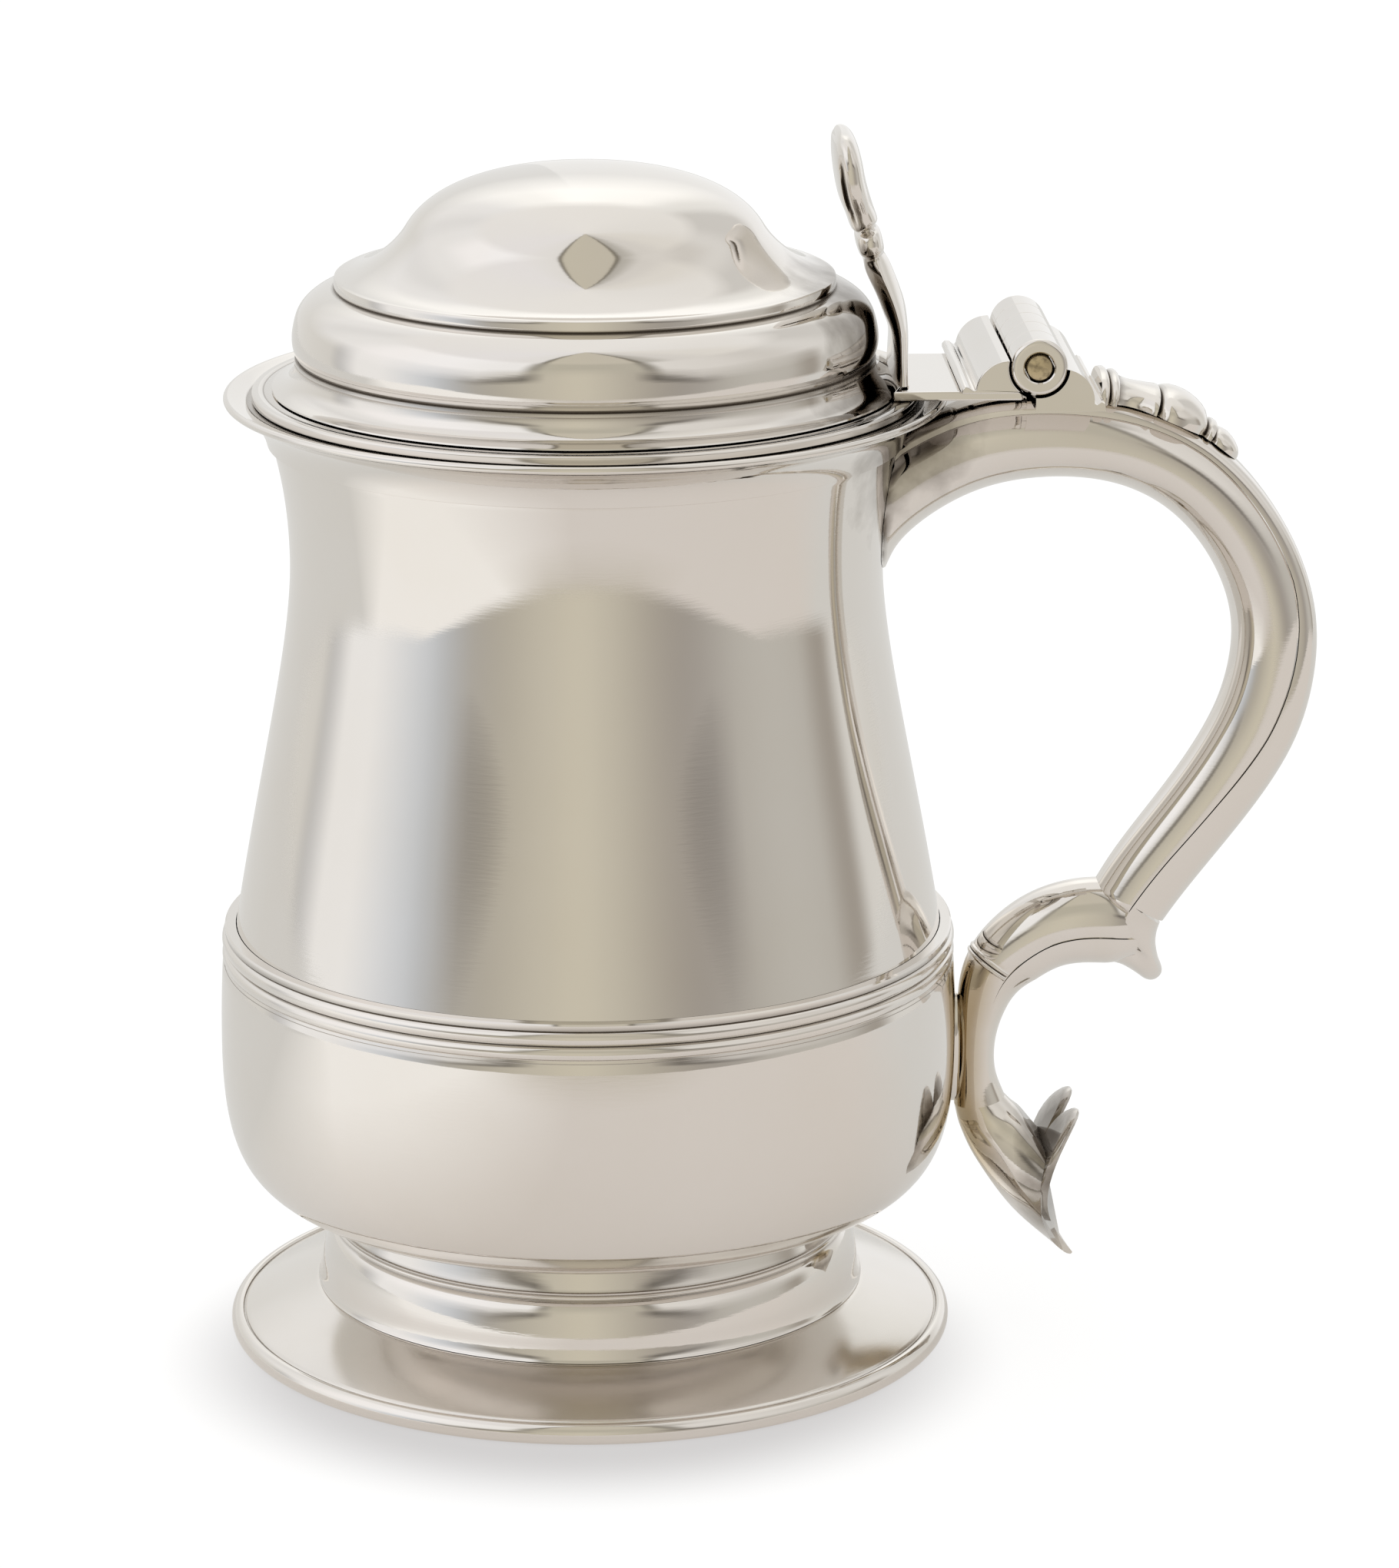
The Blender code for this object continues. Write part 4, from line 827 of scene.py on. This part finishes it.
def scroll(label, spine, marks, outline):
    """Loft the trough and the strip of one scroll, with marks of (share along, seam, boldness)."""
    stations = frames(spine)
    backs = []
    fronts = []
    last = len(spine) - 1
    shares, seams, bolds = zip(*marks)
    for i, (station, (_, _, t, w)) in enumerate(zip(stations, spine)):
        seam = t * float(np.interp(i / last, shares, seams))
        bold = float(np.interp(i / last, shares, bolds))
        backs.append(keep_outside(ring_at(station, trough(w, t, seam)), outline))
        fronts.append(keep_outside(ring_at(station, cap_strip(w, t, seam, bold)), outline))
    if label == "upper":
        (x, z), normal = stations[-1]
        for reach, size in ((0.8, 1.0), (1.4, 0.95), (1.7, 0.84)):
            end = (x + normal[1] * reach, z - normal[0] * reach)
            backs.append(ring_at((end, normal), trough(w * size, t * size, seam * size)))
    return loft(f"{label}_scroll_back", backs), loft(f"{label}_scroll_strip", fronts)


class TANKARD_OT_handle(bpy.types.Operator):
    """Loft the two scrolls of the handle, the spur between them and the reeded collar"""
    bl_idname = "tankard.handle"
    bl_label = "Handle"

    def execute(self, context):
        h = in_mm(context.scene.tankard_handle)
        silver = silver_finish(context, "polished_silver")
        cast = silver_finish(context, "cast_silver")
        outline = body_outline(in_mm(context.scene.tankard_body))[8:]
        marks = ((0, 0.62, 1), (0.45, 0.66, 1), (0.6, 0.6, 1), (0.7, 0.42, 1), (0.74, 0.34, 1),
                 (0.78, 0.28, 1), (0.86, 0.12, 1), (0.93, 0.02, 1), (1, -0.03, 1))
        back, strip = scroll("upper", upper_spine(h), marks, outline)
        fit(back, "vessel", silver, "upper_handle_channel")
        fit(strip, "vessel", silver, "upper_handle_strip")
        marks = ((0, 0.24, 1), (0.5, 0.24, 1), (0.66, 0.26, 0), (1, 0.26, 0))
        back, strip = scroll("lower", lower_spine(h), marks, outline)
        mark_tan(back)
        mark_tan(strip)
        fit(back, "vessel", cast, "lower_handle_channel")
        fit(strip, "vessel", cast, "lower_handle_strip")
        fit(loft("spur", self.spur()), "vessel", cast, "handle_spur")
        fit(loft("reeded_collar", self.collar(h)), "vessel", cast, "handle_collar")
        fit(loft("solder_pad", self.pad()), "vessel", cast, "handle_pad")
        return {'FINISHED'}

    @staticmethod
    def pad():
        """Return the rings of the oval pad between the lower scroll and the belly."""
        height, half_tall, half_wide = 46.7, 9.5, 3.2
        angles = [tau * i / 32 for i in range(32)]
        return [[(x, half_wide * cos(a) * grow, height + half_tall * sin(a) * grow) for a in angles]
                for x, grow in ((60.4, 1.0), (61.4, 1.0), (61.8, 0.9))]

    @staticmethod
    def spur():
        """Return the rings of the spur, a fan in which both strips run together round a blunt tip."""
        fan = ((90.0, 72.5, 95.0, 68.5, 6.2, 0.6), (88.9, 70.6, 94.55, 66.9, 5.9, 0.6),
               (88.9, 68.8, 94.4, 65.2, 5.7, 0.62), (89.2, 67.2, 94.6, 63.6, 5.4, 0.66),
               (89.3, 66.5, 95.0, 62.0, 5.1, 0.74), (89.3, 66.3, 95.6, 60.4, 4.7, 0.82),
               (89.3, 66.3, 95.6, 59.2, 4.5, 0.88), (89.25, 66.3, 94.9, 58.3, 4.4, 0.92),
               (89.2, 66.3, 93.9, 58.0, 4.4, 0.92), (89.1, 66.3, 92.8, 58.3, 4.5, 0.9),
               (88.9, 66.3, 91.6, 59.2, 4.7, 0.84), (88.5, 66.4, 90.1, 60.3, 5.0, 0.76),
               (87.6, 66.6, 88.4, 61.3, 5.4, 0.68), (86.0, 66.9, 86.4, 61.9, 5.8, 0.6),
               (84.5, 67.1, 84.7, 62.1, 6.0, 0.55))
        rings = []
        for x_in, z_in, x_out, z_out, wide, box in smooth_path(fan, 3):
            high = hypot(x_out - x_in, z_out - z_in)
            outward = ((x_out - x_in) / high, (z_out - z_in) / high)
            angles = [pi * i / 26 for i in range(27)]
            section = [(wide * copysign(abs(cos(a)) ** box, cos(a)), high * abs(sin(a)) ** 0.85)
                       for a in angles]
            rings.append(ring_at(((x_in, z_in), outward), section))
        return rings

    @staticmethod
    def collar(h):
        """Return the rings of the two fine reeds that lie across the back and sides of the lower scroll."""
        spine = lower_spine(h)
        middle, width = 37, 1.7
        x, z, t, w = spine[middle]
        normal = frames(spine)[middle][1]
        along = (normal[1], -normal[0])
        rings = []
        for i in range(17):
            share = i / 16
            height = 0.06 + 0.3 * abs(sin(tau * share))
            centre = (x + along[0] * width * (share - 0.5), z + along[1] * width * (share - 0.5))
            sweep = [0.2 - (pi + 0.4) * k / 26 for k in range(27)]
            outer = [((w + height) * cos(a), (t + height) * sin(a)) for a in sweep]
            inner = [((w - 0.3) * cos(a), (t - 0.3) * sin(a)) for a in sweep[::-1]]
            rings.append(ring_at((centre, normal), outer + inner))
        return rings


def heart(share, scale, h):
    """Return a point of the heart outline at a scale, from its notch round one lobe to its tip."""
    t = tau * share
    across = sin(t) ** 3
    up = (13 * cos(t) - 5 * cos(2 * t) - 2 * cos(3 * t) - cos(4 * t)) / 14.5 + 0.18
    return across * scale * h.heart_width / 2, up * scale * h.heart_height / 2


class TANKARD_OT_terminal(bpy.types.Operator):
    """Loft the flared horn below the lower scroll and the dished heart that closes it"""
    bl_idname = "tankard.terminal"
    bl_label = "Terminal"

    steps = 64
    dish, forward, below = 5.4, 14.8, 14.2

    def execute(self, context):
        h = in_mm(context.scene.tankard_handle)
        cast = silver_finish(context, "dark_cast_silver")
        horn = loft("flared_horn", self.horn_rings(h))
        mark_tan(horn)
        fit(horn, "vessel", cast, "terminal_horn")
        scales = (0.15, 0.25, 0.36, 0.48, 0.6, 0.72, 0.83, 0.93, 1.0)
        edge = ((1.02, 0.3), (1.03, 0.7), (1.02, 1.1))
        plate = [self.plate_ring(h, scale, 0) for scale in scales]
        plate += [self.plate_ring(h, scale, depth) for scale, depth in edge]
        plate += [self.plate_ring(h, scale, 1.4) for scale in scales[::-1]]
        fit(loft("heart_plate", plate), "vessel", cast, "terminal_plate")
        return {'FINISHED'}

    def plate_point(self, h, share, scale, depth):
        """Return a point of the dished heart."""
        x, z, _, _ = lower_spine(h)[-1]
        across, up = heart(share, scale, h)
        hollow = self.dish * (1 - (2 * up / h.heart_height) ** 2)
        return x + self.forward - hollow + depth, across, z - self.below + up

    def plate_ring(self, h, scale, depth):
        """Return a ring of the dished heart."""
        return [self.plate_point(h, i / self.steps, scale, depth) for i in range(self.steps)]

    def horn_rings(self, h):
        """Return the rings of the horn, opening from the scroll's oval to a shield behind the heart."""
        x, z, t, w = lower_spine(h)[-1]
        normal = frames(lower_spine(h))[-1][1]
        lines = ((x + t * normal[0], z + t * normal[1], x - t * normal[0], z - t * normal[1], w, 0.0),
                 (x + 5.6, z - 0.7, x - 3.1, z - 5.0, w + 0.6, 0.1),
                 (x + 7.3, z - 2.2, x - 0.3, z - 10.8, w + 1.9, 0.4),
                 (x + 9.3, z - 4.6, x + 5.8, z - 19.4, w + 3.6, 0.75),
                 (x + 11.0, z - 6.8, x + 14.5, z - 27.4, w + 5.4, 1.0))
        return [[self.horn_point(*line, i) for i in range(self.steps)] for line in smooth_path(lines, 7)]

    def horn_point(self, top_x, top_z, low_x, low_z, wide, open_up, i):
        """Return a point of a ring of the horn between its upper and its lower line."""
        angle = pi / 2 - tau * i / self.steps
        side = abs(cos(angle))
        rise = abs(sin(angle))
        if sin(angle) >= 0:
            power = 2 / (2 + 3 * open_up)
            across = side ** power
            up = rise ** power - 0.1 * open_up * (1 - across ** 2)
        else:
            across = side + (1 - rise ** 1.5 - side) * open_up
            up = -rise
        half = Vector(((top_x - low_x) / 2, (top_z - low_z) / 2))
        dish = 3.1 * open_up * open_up * (1 - up * up)
        return ((top_x + low_x) / 2 + half.x * up - dish, copysign(across * wide, cos(angle)),
                (top_z + low_z) / 2 + half.y * up)


class TANKARD_OT_drop(bpy.types.Operator):
    """Loft the cast drop that runs down the handle from the hinge"""
    bl_idname = "tankard.drop"
    bl_label = "Drop"

    run, half_width, rise = 26.0, 8.5, 4.4

    def execute(self, context):
        h = in_mm(context.scene.tankard_handle)
        spine = upper_spine(h)
        crest = [(p[0] + n[0] * s[2], p[1] + n[1] * s[2]) for (p, n), s in zip(frames(spine), spine)]
        crest = [p for p in crest if p[0] > HINGE[0] / MM - AXIS_X / MM + 10.4]
        runs = [0]
        for a, b in zip(crest, crest[1:]):
            runs.append(runs[-1] + hypot(b[0] - a[0], b[1] - a[1]))
        shape = ((0.0, 0.98, 0.98), (0.03, 1.0, 1.02), (0.05, 0.96, 0.94), (0.06, 0.86, 0.84),
                 (0.075, 0.95, 0.95), (0.095, 0.97, 0.97), (0.115, 0.9, 0.9), (0.125, 0.74, 0.8),
                 (0.19, 0.68, 0.74), (0.27, 0.74, 0.76), (0.33, 0.86, 0.8), (0.365, 0.9, 0.82),
                 (0.38, 0.78, 0.66), (0.395, 0.9, 0.86), (0.44, 1.0, 0.99), (0.52, 1.0, 1.03),
                 (0.6, 0.9, 0.95), (0.67, 0.72, 0.76), (0.7, 0.58, 0.54), (0.715, 0.5, 0.42),
                 (0.73, 0.6, 0.58), (0.765, 0.62, 0.6), (0.78, 0.46, 0.42), (0.8, 0.52, 0.5),
                 (0.86, 0.56, 0.56), (0.93, 0.48, 0.46), (0.98, 0.3, 0.28), (1.0, 0.12, 0.1))
        rings = []
        for share, wide, tall in smooth_path(shape, 2):
            station = self.station(crest, runs, max(share, 0) * self.run)
            rings.append(ring_at(station, self.section(self.half_width * wide, self.rise * tall)))
        fit(loft("cast_drop", rings), "vessel", silver_finish(context, "cast_silver"), "handle_drop")
        return {'FINISHED'}

    @staticmethod
    def station(crest, runs, want):
        """Return the point and normal at a distance along the handle's crest."""
        i = next((k for k in range(1, len(runs)) if runs[k] >= want), len(runs) - 1)
        t = (want - runs[i - 1]) / (runs[i] - runs[i - 1])
        a, b = crest[i - 1], crest[i]
        dx, dz = (b[0] - a[0]) / (runs[i] - runs[i - 1]), (b[1] - a[1]) / (runs[i] - runs[i - 1])
        return (a[0] + (b[0] - a[0]) * t, a[1] + (b[1] - a[1]) * t), (-dz, dx)

    @staticmethod
    def section(half, high):
        """Return a domed section that is flat below."""
        dome = [(half * cos(pi * k / 22), 0.1 + high * sin(pi * k / 22) ** 0.75) for k in range(23)]
        return dome + [(-half * 0.5, -0.2), (half * 0.5, -0.2)]


class TANKARD_OT_hinge(bpy.types.Operator):
    """Model the strap, the two moulded blocks, the five knuckles and the pin"""
    bl_idname = "tankard.hinge"
    bl_label = "Hinge"

    def execute(self, context):
        h = in_mm(context.scene.tankard_handle)
        lid = in_mm(context.scene.tankard_lid)
        silver = silver_finish(context, "rubbed_silver")
        x = (HINGE[0] - AXIS_X) / MM
        z = HINGE[2] / MM
        self.strap(h, lid, x, silver)
        space = h.barrel_radius + 0.3
        low = lid.base + STRAP_SEAT
        block = [(x - 12.4, low), (x - 12.4, low + 0.7), (x - 11.9, low + 1.2), (x - 11.2, low + 1.1),
                 (x - 10.5, low + 0.5)]
        block += arc((x - 4.9, low), 5.3, 172, 94, 14)
        block += arc((x, z), space, 165, 255, 14) + [(x - 1.6, low)]
        fit(slab("lid_block", block, h.barrel_length), "lid", silver, "lid_hinge_block")
        low = h.top + 0.3
        rise = degrees(asin(min(0.9, (low + 6.7 - z) / space)))
        bed = [(x - 0.5, low)] + arc((x, z), space, -96, rise, 18)
        bed += arc((x + 3.6, low + 1.6), 5.3, 82, -4, 12)
        bed += [(x + 9.3, low + 1.0), (x + 10.0, low + 1.5), (x + 10.6, low + 1.2), (x + 10.7, low)]
        fit(slab("handle_block", bed, h.barrel_length), "vessel", silver, "hinge_bed")
        pitch = h.barrel_length / 5
        for i in range(5):
            owner, label = (("vessel", "handle"), ("lid", "lid"))[i % 2]
            start = -h.barrel_length / 2 + pitch * i
            count = i // 2 + 1
            knuckle = self.tube(f"{label}_barrel_{count}", h, x, z, start + 0.05, start + pitch - 0.05)
            fit(knuckle, owner, silver, f"{label}_knuckle_{count}")
        fit(self.pin(h, x, z), "vessel", brass_finish(context), "hinge_pin")
        return {'FINISHED'}

    @staticmethod
    def strap(h, lid, x, silver):
        """Model the strap, cut round to sit against the cover's foot."""
        foot = lid.flange_radius - 2.9
        half = h.strap_width / 2
        reach = x - 2.3
        curve = [(foot * cos(a), foot * sin(a)) for a in [(-0.3 + 0.6 * i / 16) for i in range(17)]]
        curve = [p for p in curve if abs(p[1]) < half]
        edge = (foot ** 2 - half ** 2) ** 0.5
        outline = [(edge, -half)] + curve + [(edge, half), (reach, half), (reach, -half)]
        points = [world_point(px, py, lid.base - 0.25) for px, py in outline]
        piece = thick_plate("lid_strap_plate", points, (0, 0, 1.55 * MM), 0.3, 50)
        fit(piece, "lid", silver, "lid_strap")

    @staticmethod
    def tube(name, h, x, z, low, high):
        """Spin a knuckle with softened ends round the hinge axis."""
        bore = h.pin_radius + 0.3
        wide = h.barrel_radius
        end = h.barrel_length / 2 - 0.3
        rounded, crisp = 0.8, 0.1
        first = rounded if low < -end else crisp
        last = rounded if high > end else crisp
        outline = [(bore, low + 0.2), (bore + 0.2, low + 0.02), (wide - first - 0.15, low)]
        outline += arc((wide - first, low + first), first, -90, 0, 5)
        outline += [(wide, low + first + 0.15), (wide, high - last - 0.15)]
        outline += arc((wide - last, high - last), last, 0, 90, 5)
        outline += [(wide - last - 0.15, high), (bore + 0.2, high - 0.02), (bore, high - 0.2)]
        piece = trace(name, [world_point(x, y, z + r) for r, y in outline], True)
        bpy.ops.mesh.spin(steps=64, angle=tau, center=world_point(x, 0, z), axis=(0, 1, 0))
        return close_up(piece)

    @staticmethod
    def pin(h, x, z):
        """Spin the pin with its slightly domed, filed ends."""
        half = h.barrel_length / 2
        outline = [(0, -half - 0.1), (1.2, -half - 0.05),
                   (h.pin_radius - 0.2, -half + 0.15), (h.pin_radius, -half + 0.5)]
        outline += [(r, -y) for r, y in outline[::-1]]
        piece = trace("brass_pin", [world_point(x, y, z + r) for r, y in outline], False)
        bpy.ops.mesh.spin(steps=48, angle=tau, center=world_point(x, 0, z), axis=(0, 1, 0))
        return close_up(piece)


class TANKARD_OT_thumbpiece(bpy.types.Operator):
    """Loft the cast thumbpiece: a leg, a knob and a thick leaf with a creased edge"""
    bl_idname = "tankard.thumbpiece"
    bl_label = "Thumbpiece"

    def execute(self, context):
        lid = in_mm(context.scene.tankard_lid)
        foot = lid.base + STRAP_SEAT
        shape = ((50.6, 0.0, 1.3, 13.0, 3.0, 0.0), (50.6, 2.9, 1.25, 12.0, 2.6, 0.0),
                 (50.6, 7.1, 1.5, 9.4, 2.0, 0.0), (49.9, 10.5, 1.9, 7.6, 1.6, 0.0),
                 (48.9, 13.4, 2.0, 6.5, 1.5, 0.0), (47.3, 17.1, 2.1, 5.6, 1.5, 0.0),
                 (46.5, 19.2, 1.8, 4.9, 1.8, 0.0), (46.2, 20.1, 2.05, 5.7, 2.4, 0.0),
                 (45.8, 21.5, 2.15, 6.2, 2.6, 0.0), (45.5, 22.9, 2.05, 5.9, 2.6, 0.0),
                 (45.35, 23.5, 1.6, 4.6, 2.6, 0.0), (45.2, 24.1, 1.6, 4.6, 2.6, 0.0),
                 (44.9, 24.7, 2.25, 6.6, 2.8, 0.2), (44.1, 26.9, 2.3, 7.6, 2.6, 1.2),
                 (43.2, 29.4, 2.4, 9.2, 2.8, 2.0), (42.6, 31.9, 2.35, 10.1, 2.8, 2.0),
                 (42.1, 34.9, 2.25, 10.3, 2.8, 1.4), (41.7, 37.2, 2.0, 9.6, 2.6, 0.3),
                 (41.3, 38.6, 1.6, 8.2, 2.4, 0.0), (41.0, 39.3, 0.9, 6.2, 2.2, 0.0),
                 (40.9, 39.6, 0.3, 4.0, 2.0, 0.0))
        path = smooth_path([(x, foot + rise, *section) for x, rise, *section in shape], 5)
        rings = [ring_at(station, soft_box(w, t, square, crease))
                 for station, (_, _, t, w, square, crease) in zip(frames(path), path)]
        fit(loft("thumb_leaf", rings), "lid", silver_finish(context, "cast_silver"), "thumbpiece")
        return {'FINISHED'}


# Tones of the studio's panels, and where they stand round the tankard in degrees from the camera.
WHITE = (1.0, 1.0, 1.0)
FAR_LEFT = (0.85, 0.85, 0.84)
FAR_RIGHT = (0.95, 0.95, 0.94)
PALE = (0.78, 0.77, 0.74)
JOINT = (0.68, 0.68, 0.68)
COOL = (0.7, 0.73, 0.77)
SHADE = (0.51, 0.49, 0.45)
BEIGE = (0.66, 0.62, 0.52)
DARK = (0.43, 0.4, 0.36)
WARM = (0.57, 0.55, 0.51)
LEVEL_LIGHT = ((-180, FAR_LEFT), (-120, PALE), (-112, JOINT), (-101, WHITE), (-88, WHITE), (-63, COOL),
               (-45, SHADE), (-14, BEIGE), (3, BEIGE), (33, DARK), (60, WARM), (84, WARM), (98, DARK),
               (106, PALE), (130, PALE), (146, WHITE), (180, FAR_RIGHT))
RAISED_LIGHT = ((-180, (1.3, 1.3, 1.28)), (-172, (1.18, 1.18, 1.16)), (-156, (0.98, 0.98, 0.98)),
                (-140, (0.9, 0.9, 0.9)), (-120, (0.97, 0.97, 0.97)), (-90, (1.1, 1.09, 1.1)),
                (-66, (1.1, 1.1, 1.12)), (-30, (1.02, 1.02, 1.02)), (-23, (0.4, 0.38, 0.33)),
                (-18, (0.57, 0.54, 0.45)), (20, (0.56, 0.53, 0.45)), (25, (0.34, 0.32, 0.28)),
                (32, (0.86, 0.84, 0.81)), (50, (0.84, 0.82, 0.79)), (80, (0.76, 0.74, 0.71)),
                (104, (0.84, 0.83, 0.81)), (128, (0.74, 0.73, 0.71)), (143, (0.74, 0.73, 0.71)),
                (155, (0.97, 0.97, 0.95)), (168, (1.24, 1.24, 1.22)), (180, (1.3, 1.3, 1.28)))
TOP_LIGHT = ((-180, (0.98, 0.97, 0.95)), (-120, (0.96, 0.95, 0.94)), (-60, (0.95, 0.94, 0.95)),
             (-26, (0.92, 0.91, 0.9)), (-22.5, (0.24, 0.22, 0.18)), (-19, (0.66, 0.62, 0.52)),
             (22, (0.65, 0.61, 0.52)), (25, (0.24, 0.22, 0.18)), (30, (0.56, 0.54, 0.5)),
             (48, (0.8, 0.78, 0.75)), (80, (0.88, 0.86, 0.82)), (120, (0.94, 0.93, 0.91)),
             (180, (0.98, 0.97, 0.95)))


class TANKARD_OT_stage(bpy.types.Operator):
    """Lay the pale floor, set the camera and wrap the soft studio light round the tankard"""
    bl_idname = "tankard.stage"
    bl_label = "Stage"

    floor_size = (1.9, 3.45, 1)
    floor_middle = (-0.03, 1.3, 0)

    def execute(self, context):
        settings = context.scene.tankard_stage
        self.floor(settings)
        self.camera(context, settings)
        self.surroundings(context)
        context.scene.view_settings.view_transform = 'Standard'
        return {'FINISHED'}

    def floor(self, settings):
        """Lay a pale table top that keeps the shadow, with a painted shadow round the foot; the silver shows
        painted shade on it, darker and fading at its edges.
        """
        bpy.ops.object.select_all(action='DESELECT')
        bpy.ops.mesh.primitive_plane_add(size=1, location=(0, 0, 0))
        floor = bpy.context.object
        floor.name = "floor"
        bpy.ops.transform.resize(value=self.floor_size)
        bpy.ops.transform.translate(value=self.floor_middle)
        bpy.ops.object.transform_apply(location=True, rotation=False, scale=True)
        finish, tree, shader, spot = new_finish("pale_floor")
        x, y, _ = node(tree, "ShaderNodeSeparateXYZ", {"Vector": spot}).outputs
        # Painted shade and light for the reflections: the floor's tone by place, as the silver shows it.
        right = between(tree, x, -0.24, -0.06)
        front = mix(tree, right, tuple(settings.floor_left_light), tuple(settings.floor_shade))
        tone = mix(tree, between(tree, y, 0.05, -0.05), tuple(settings.floor_back_shade), front)
        aside = calc(tree, 'ABSOLUTE', calc(tree, 'SUBTRACT', x, self.floor_middle[0]))
        edge = calc(tree, 'MULTIPLY', between(tree, aside, 0.22, 0.1), between(tree, y, -0.26, -0.42))
        tone = mix(tree, edge, tone, tuple(settings.floor_edge_shade))
        path = node(tree, "ShaderNodeLightPath").outputs
        seen = path["Is Camera Ray"]
        # Painted shadow: within a circle round the foot, set a little towards the camera, the floor fades to
        # a darker painted tone.
        away = calc_vector(tree, 'LENGTH', calc_vector(tree, 'ADD', spot, (0.002 - AXIS_X, 0.017, 0.0)))
        clear = between(tree, away, 0.046, 0.073, 'SMOOTHSTEP')
        floor_with_painted_shadow = mix(tree, clear, tuple(settings.painted_foot_shadow), tuple(settings.floor))
        base = mix(tree, seen, mix(tree, 0.6, BLACK, tone), mix(tree, 0.22, BLACK, floor_with_painted_shadow))
        tree.links.new(base, shader.inputs["Base Color"])
        mirrored = mix(tree, path["Is Glossy Ray"], BLACK, mix(tree, 0.8, BLACK, tone))
        tree.links.new(mix(tree, seen, mirrored, floor_with_painted_shadow), shader.inputs["Emission Color"])
        front_edge = self.floor_middle[1] - self.floor_size[1] / 2
        fade = calc(tree, 'MULTIPLY', between(tree, y, front_edge, front_edge + 0.085, 'SMOOTHSTEP'),
                    between(tree, aside, self.floor_size[0] / 2, 0.6, 'SMOOTHSTEP'))
        tree.links.new(calc(tree, 'MAXIMUM', seen, fade), shader.inputs["Alpha"])
        shader.inputs["Roughness"].default_value = 0.9
        shader.inputs["Specular IOR Level"].default_value = 0.0
        shader.inputs["Emission Strength"].default_value = 0.88
        floor.data.materials.append(finish)

    @staticmethod
    def camera(context, settings):
        """Set the camera at the photograph's distance and angle."""
        camera = bpy.data.objects.new("camera", bpy.data.cameras.new("camera"))
        context.scene.collection.objects.link(camera)
        camera.location = (AXIS_X - settings.distance * sin(settings.turn),
                           -settings.distance * cos(settings.turn), settings.height)
        camera.rotation_euler = (pi / 2 - settings.down, 0, -(settings.turn + settings.aside))
        camera.data.sensor_width = 36
        camera.data.lens = settings.lens
        context.scene.camera = camera

    @staticmethod
    def surroundings(context):
        """Wrap the tankard in three rings of studio light, with one tall beige opening in front."""
        world = bpy.data.worlds.new("studio")
        context.scene.world = world
        world.use_nodes = True
        tree = world.node_tree
        x, y, z = node(tree, "ShaderNodeSeparateXYZ",
                       {"Vector": node(tree, "ShaderNodeTexCoord").outputs["Generated"]}).outputs
        turn = calc(tree, 'ARCTAN2', x, calc(tree, 'MULTIPLY', y, -1.0))
        share = calc(tree, 'MULTIPLY_ADD', turn, 1 / tau, 0.5)
        rings = [ramp(tree, share, [((angle + 180) / 360, value) for angle, value in marks], blend)
                 for marks, blend in ((LEVEL_LIGHT, 'CARDINAL'), (RAISED_LIGHT, 'EASE'), (TOP_LIGHT, 'EASE'))]
        sine = calc(tree, 'SINE', turn)
        bow = node(tree, "ShaderNodeMapRange", {"Value": calc(tree, 'MULTIPLY', sine, sine), "From Max": 0.5,
                                                "To Max": 0.22}).outputs[0]
        lift = calc(tree, 'ADD', z, bow)
        tent = mix(tree, between(tree, lift, 0.3, 0.56), rings[0], rings[1])
        tent = mix(tree, between(tree, z, 0.72, 0.8), tent, rings[2])
        aside = between(tree, calc(tree, 'ABSOLUTE', turn), 0.0, 1.0)
        reach = ramp(tree, aside, ((0.3, 0.0), (0.46, 0.75), (0.62, 0.6), (0.95, 0.0)))
        band = ramp(tree, lift, ((0.2, 0.0), (0.3, 1.0), (0.36, 0.8), (0.42, 0.0)))
        tent = mix(tree, calc(tree, 'MULTIPLY', reach, band), tent, (0.1, 0.09, 0.08))
        seen = node(tree, "ShaderNodeLightPath").outputs["Is Camera Ray"]
        tree.links.new(mix(tree, seen, tent, WHITE), tree.nodes["Background"].inputs["Color"])


class TANKARD_PT_sidebar(bpy.types.Panel):
    """Lists the pieces of the tankard"""
    bl_label = "Silver Tankard"
    bl_space_type = 'VIEW_3D'
    bl_region_type = 'UI'
    bl_category = "Tankard"

    def draw(self, context):
        for step in STEPS:
            self.layout.operator(step.bl_idname)


STEPS = (TANKARD_OT_body, TANKARD_OT_lip, TANKARD_OT_girdle, TANKARD_OT_foot, TANKARD_OT_lid,
         TANKARD_OT_handle, TANKARD_OT_terminal, TANKARD_OT_drop, TANKARD_OT_hinge,
         TANKARD_OT_thumbpiece, TANKARD_OT_stage)
GROUPS = {"tankard_body": TankardBody, "tankard_foot": TankardFoot, "tankard_lid": TankardLid,
          "tankard_handle": TankardHandle, "tankard_finish": TankardFinish, "tankard_stage": TankardStage}


def register():
    """Register the sizes, the operators and the panel."""
    for name, group in GROUPS.items():
        bpy.utils.register_class(group)
        setattr(bpy.types.Scene, name, PointerProperty(type=group))
    for step in STEPS:
        bpy.utils.register_class(step)
    bpy.utils.register_class(TANKARD_PT_sidebar)


def unregister():
    """Take the panel, the operators and the sizes out again."""
    bpy.utils.unregister_class(TANKARD_PT_sidebar)
    for step in reversed(STEPS):
        bpy.utils.unregister_class(step)
    for name, group in reversed(GROUPS.items()):
        delattr(bpy.types.Scene, name)
        bpy.utils.unregister_class(group)


def main():
    """Build every piece in order."""
    register()
    for step in STEPS:
        group, name = step.bl_idname.split(".")
        getattr(getattr(bpy.ops, group), name)()


if __name__ == "__main__":
    main()
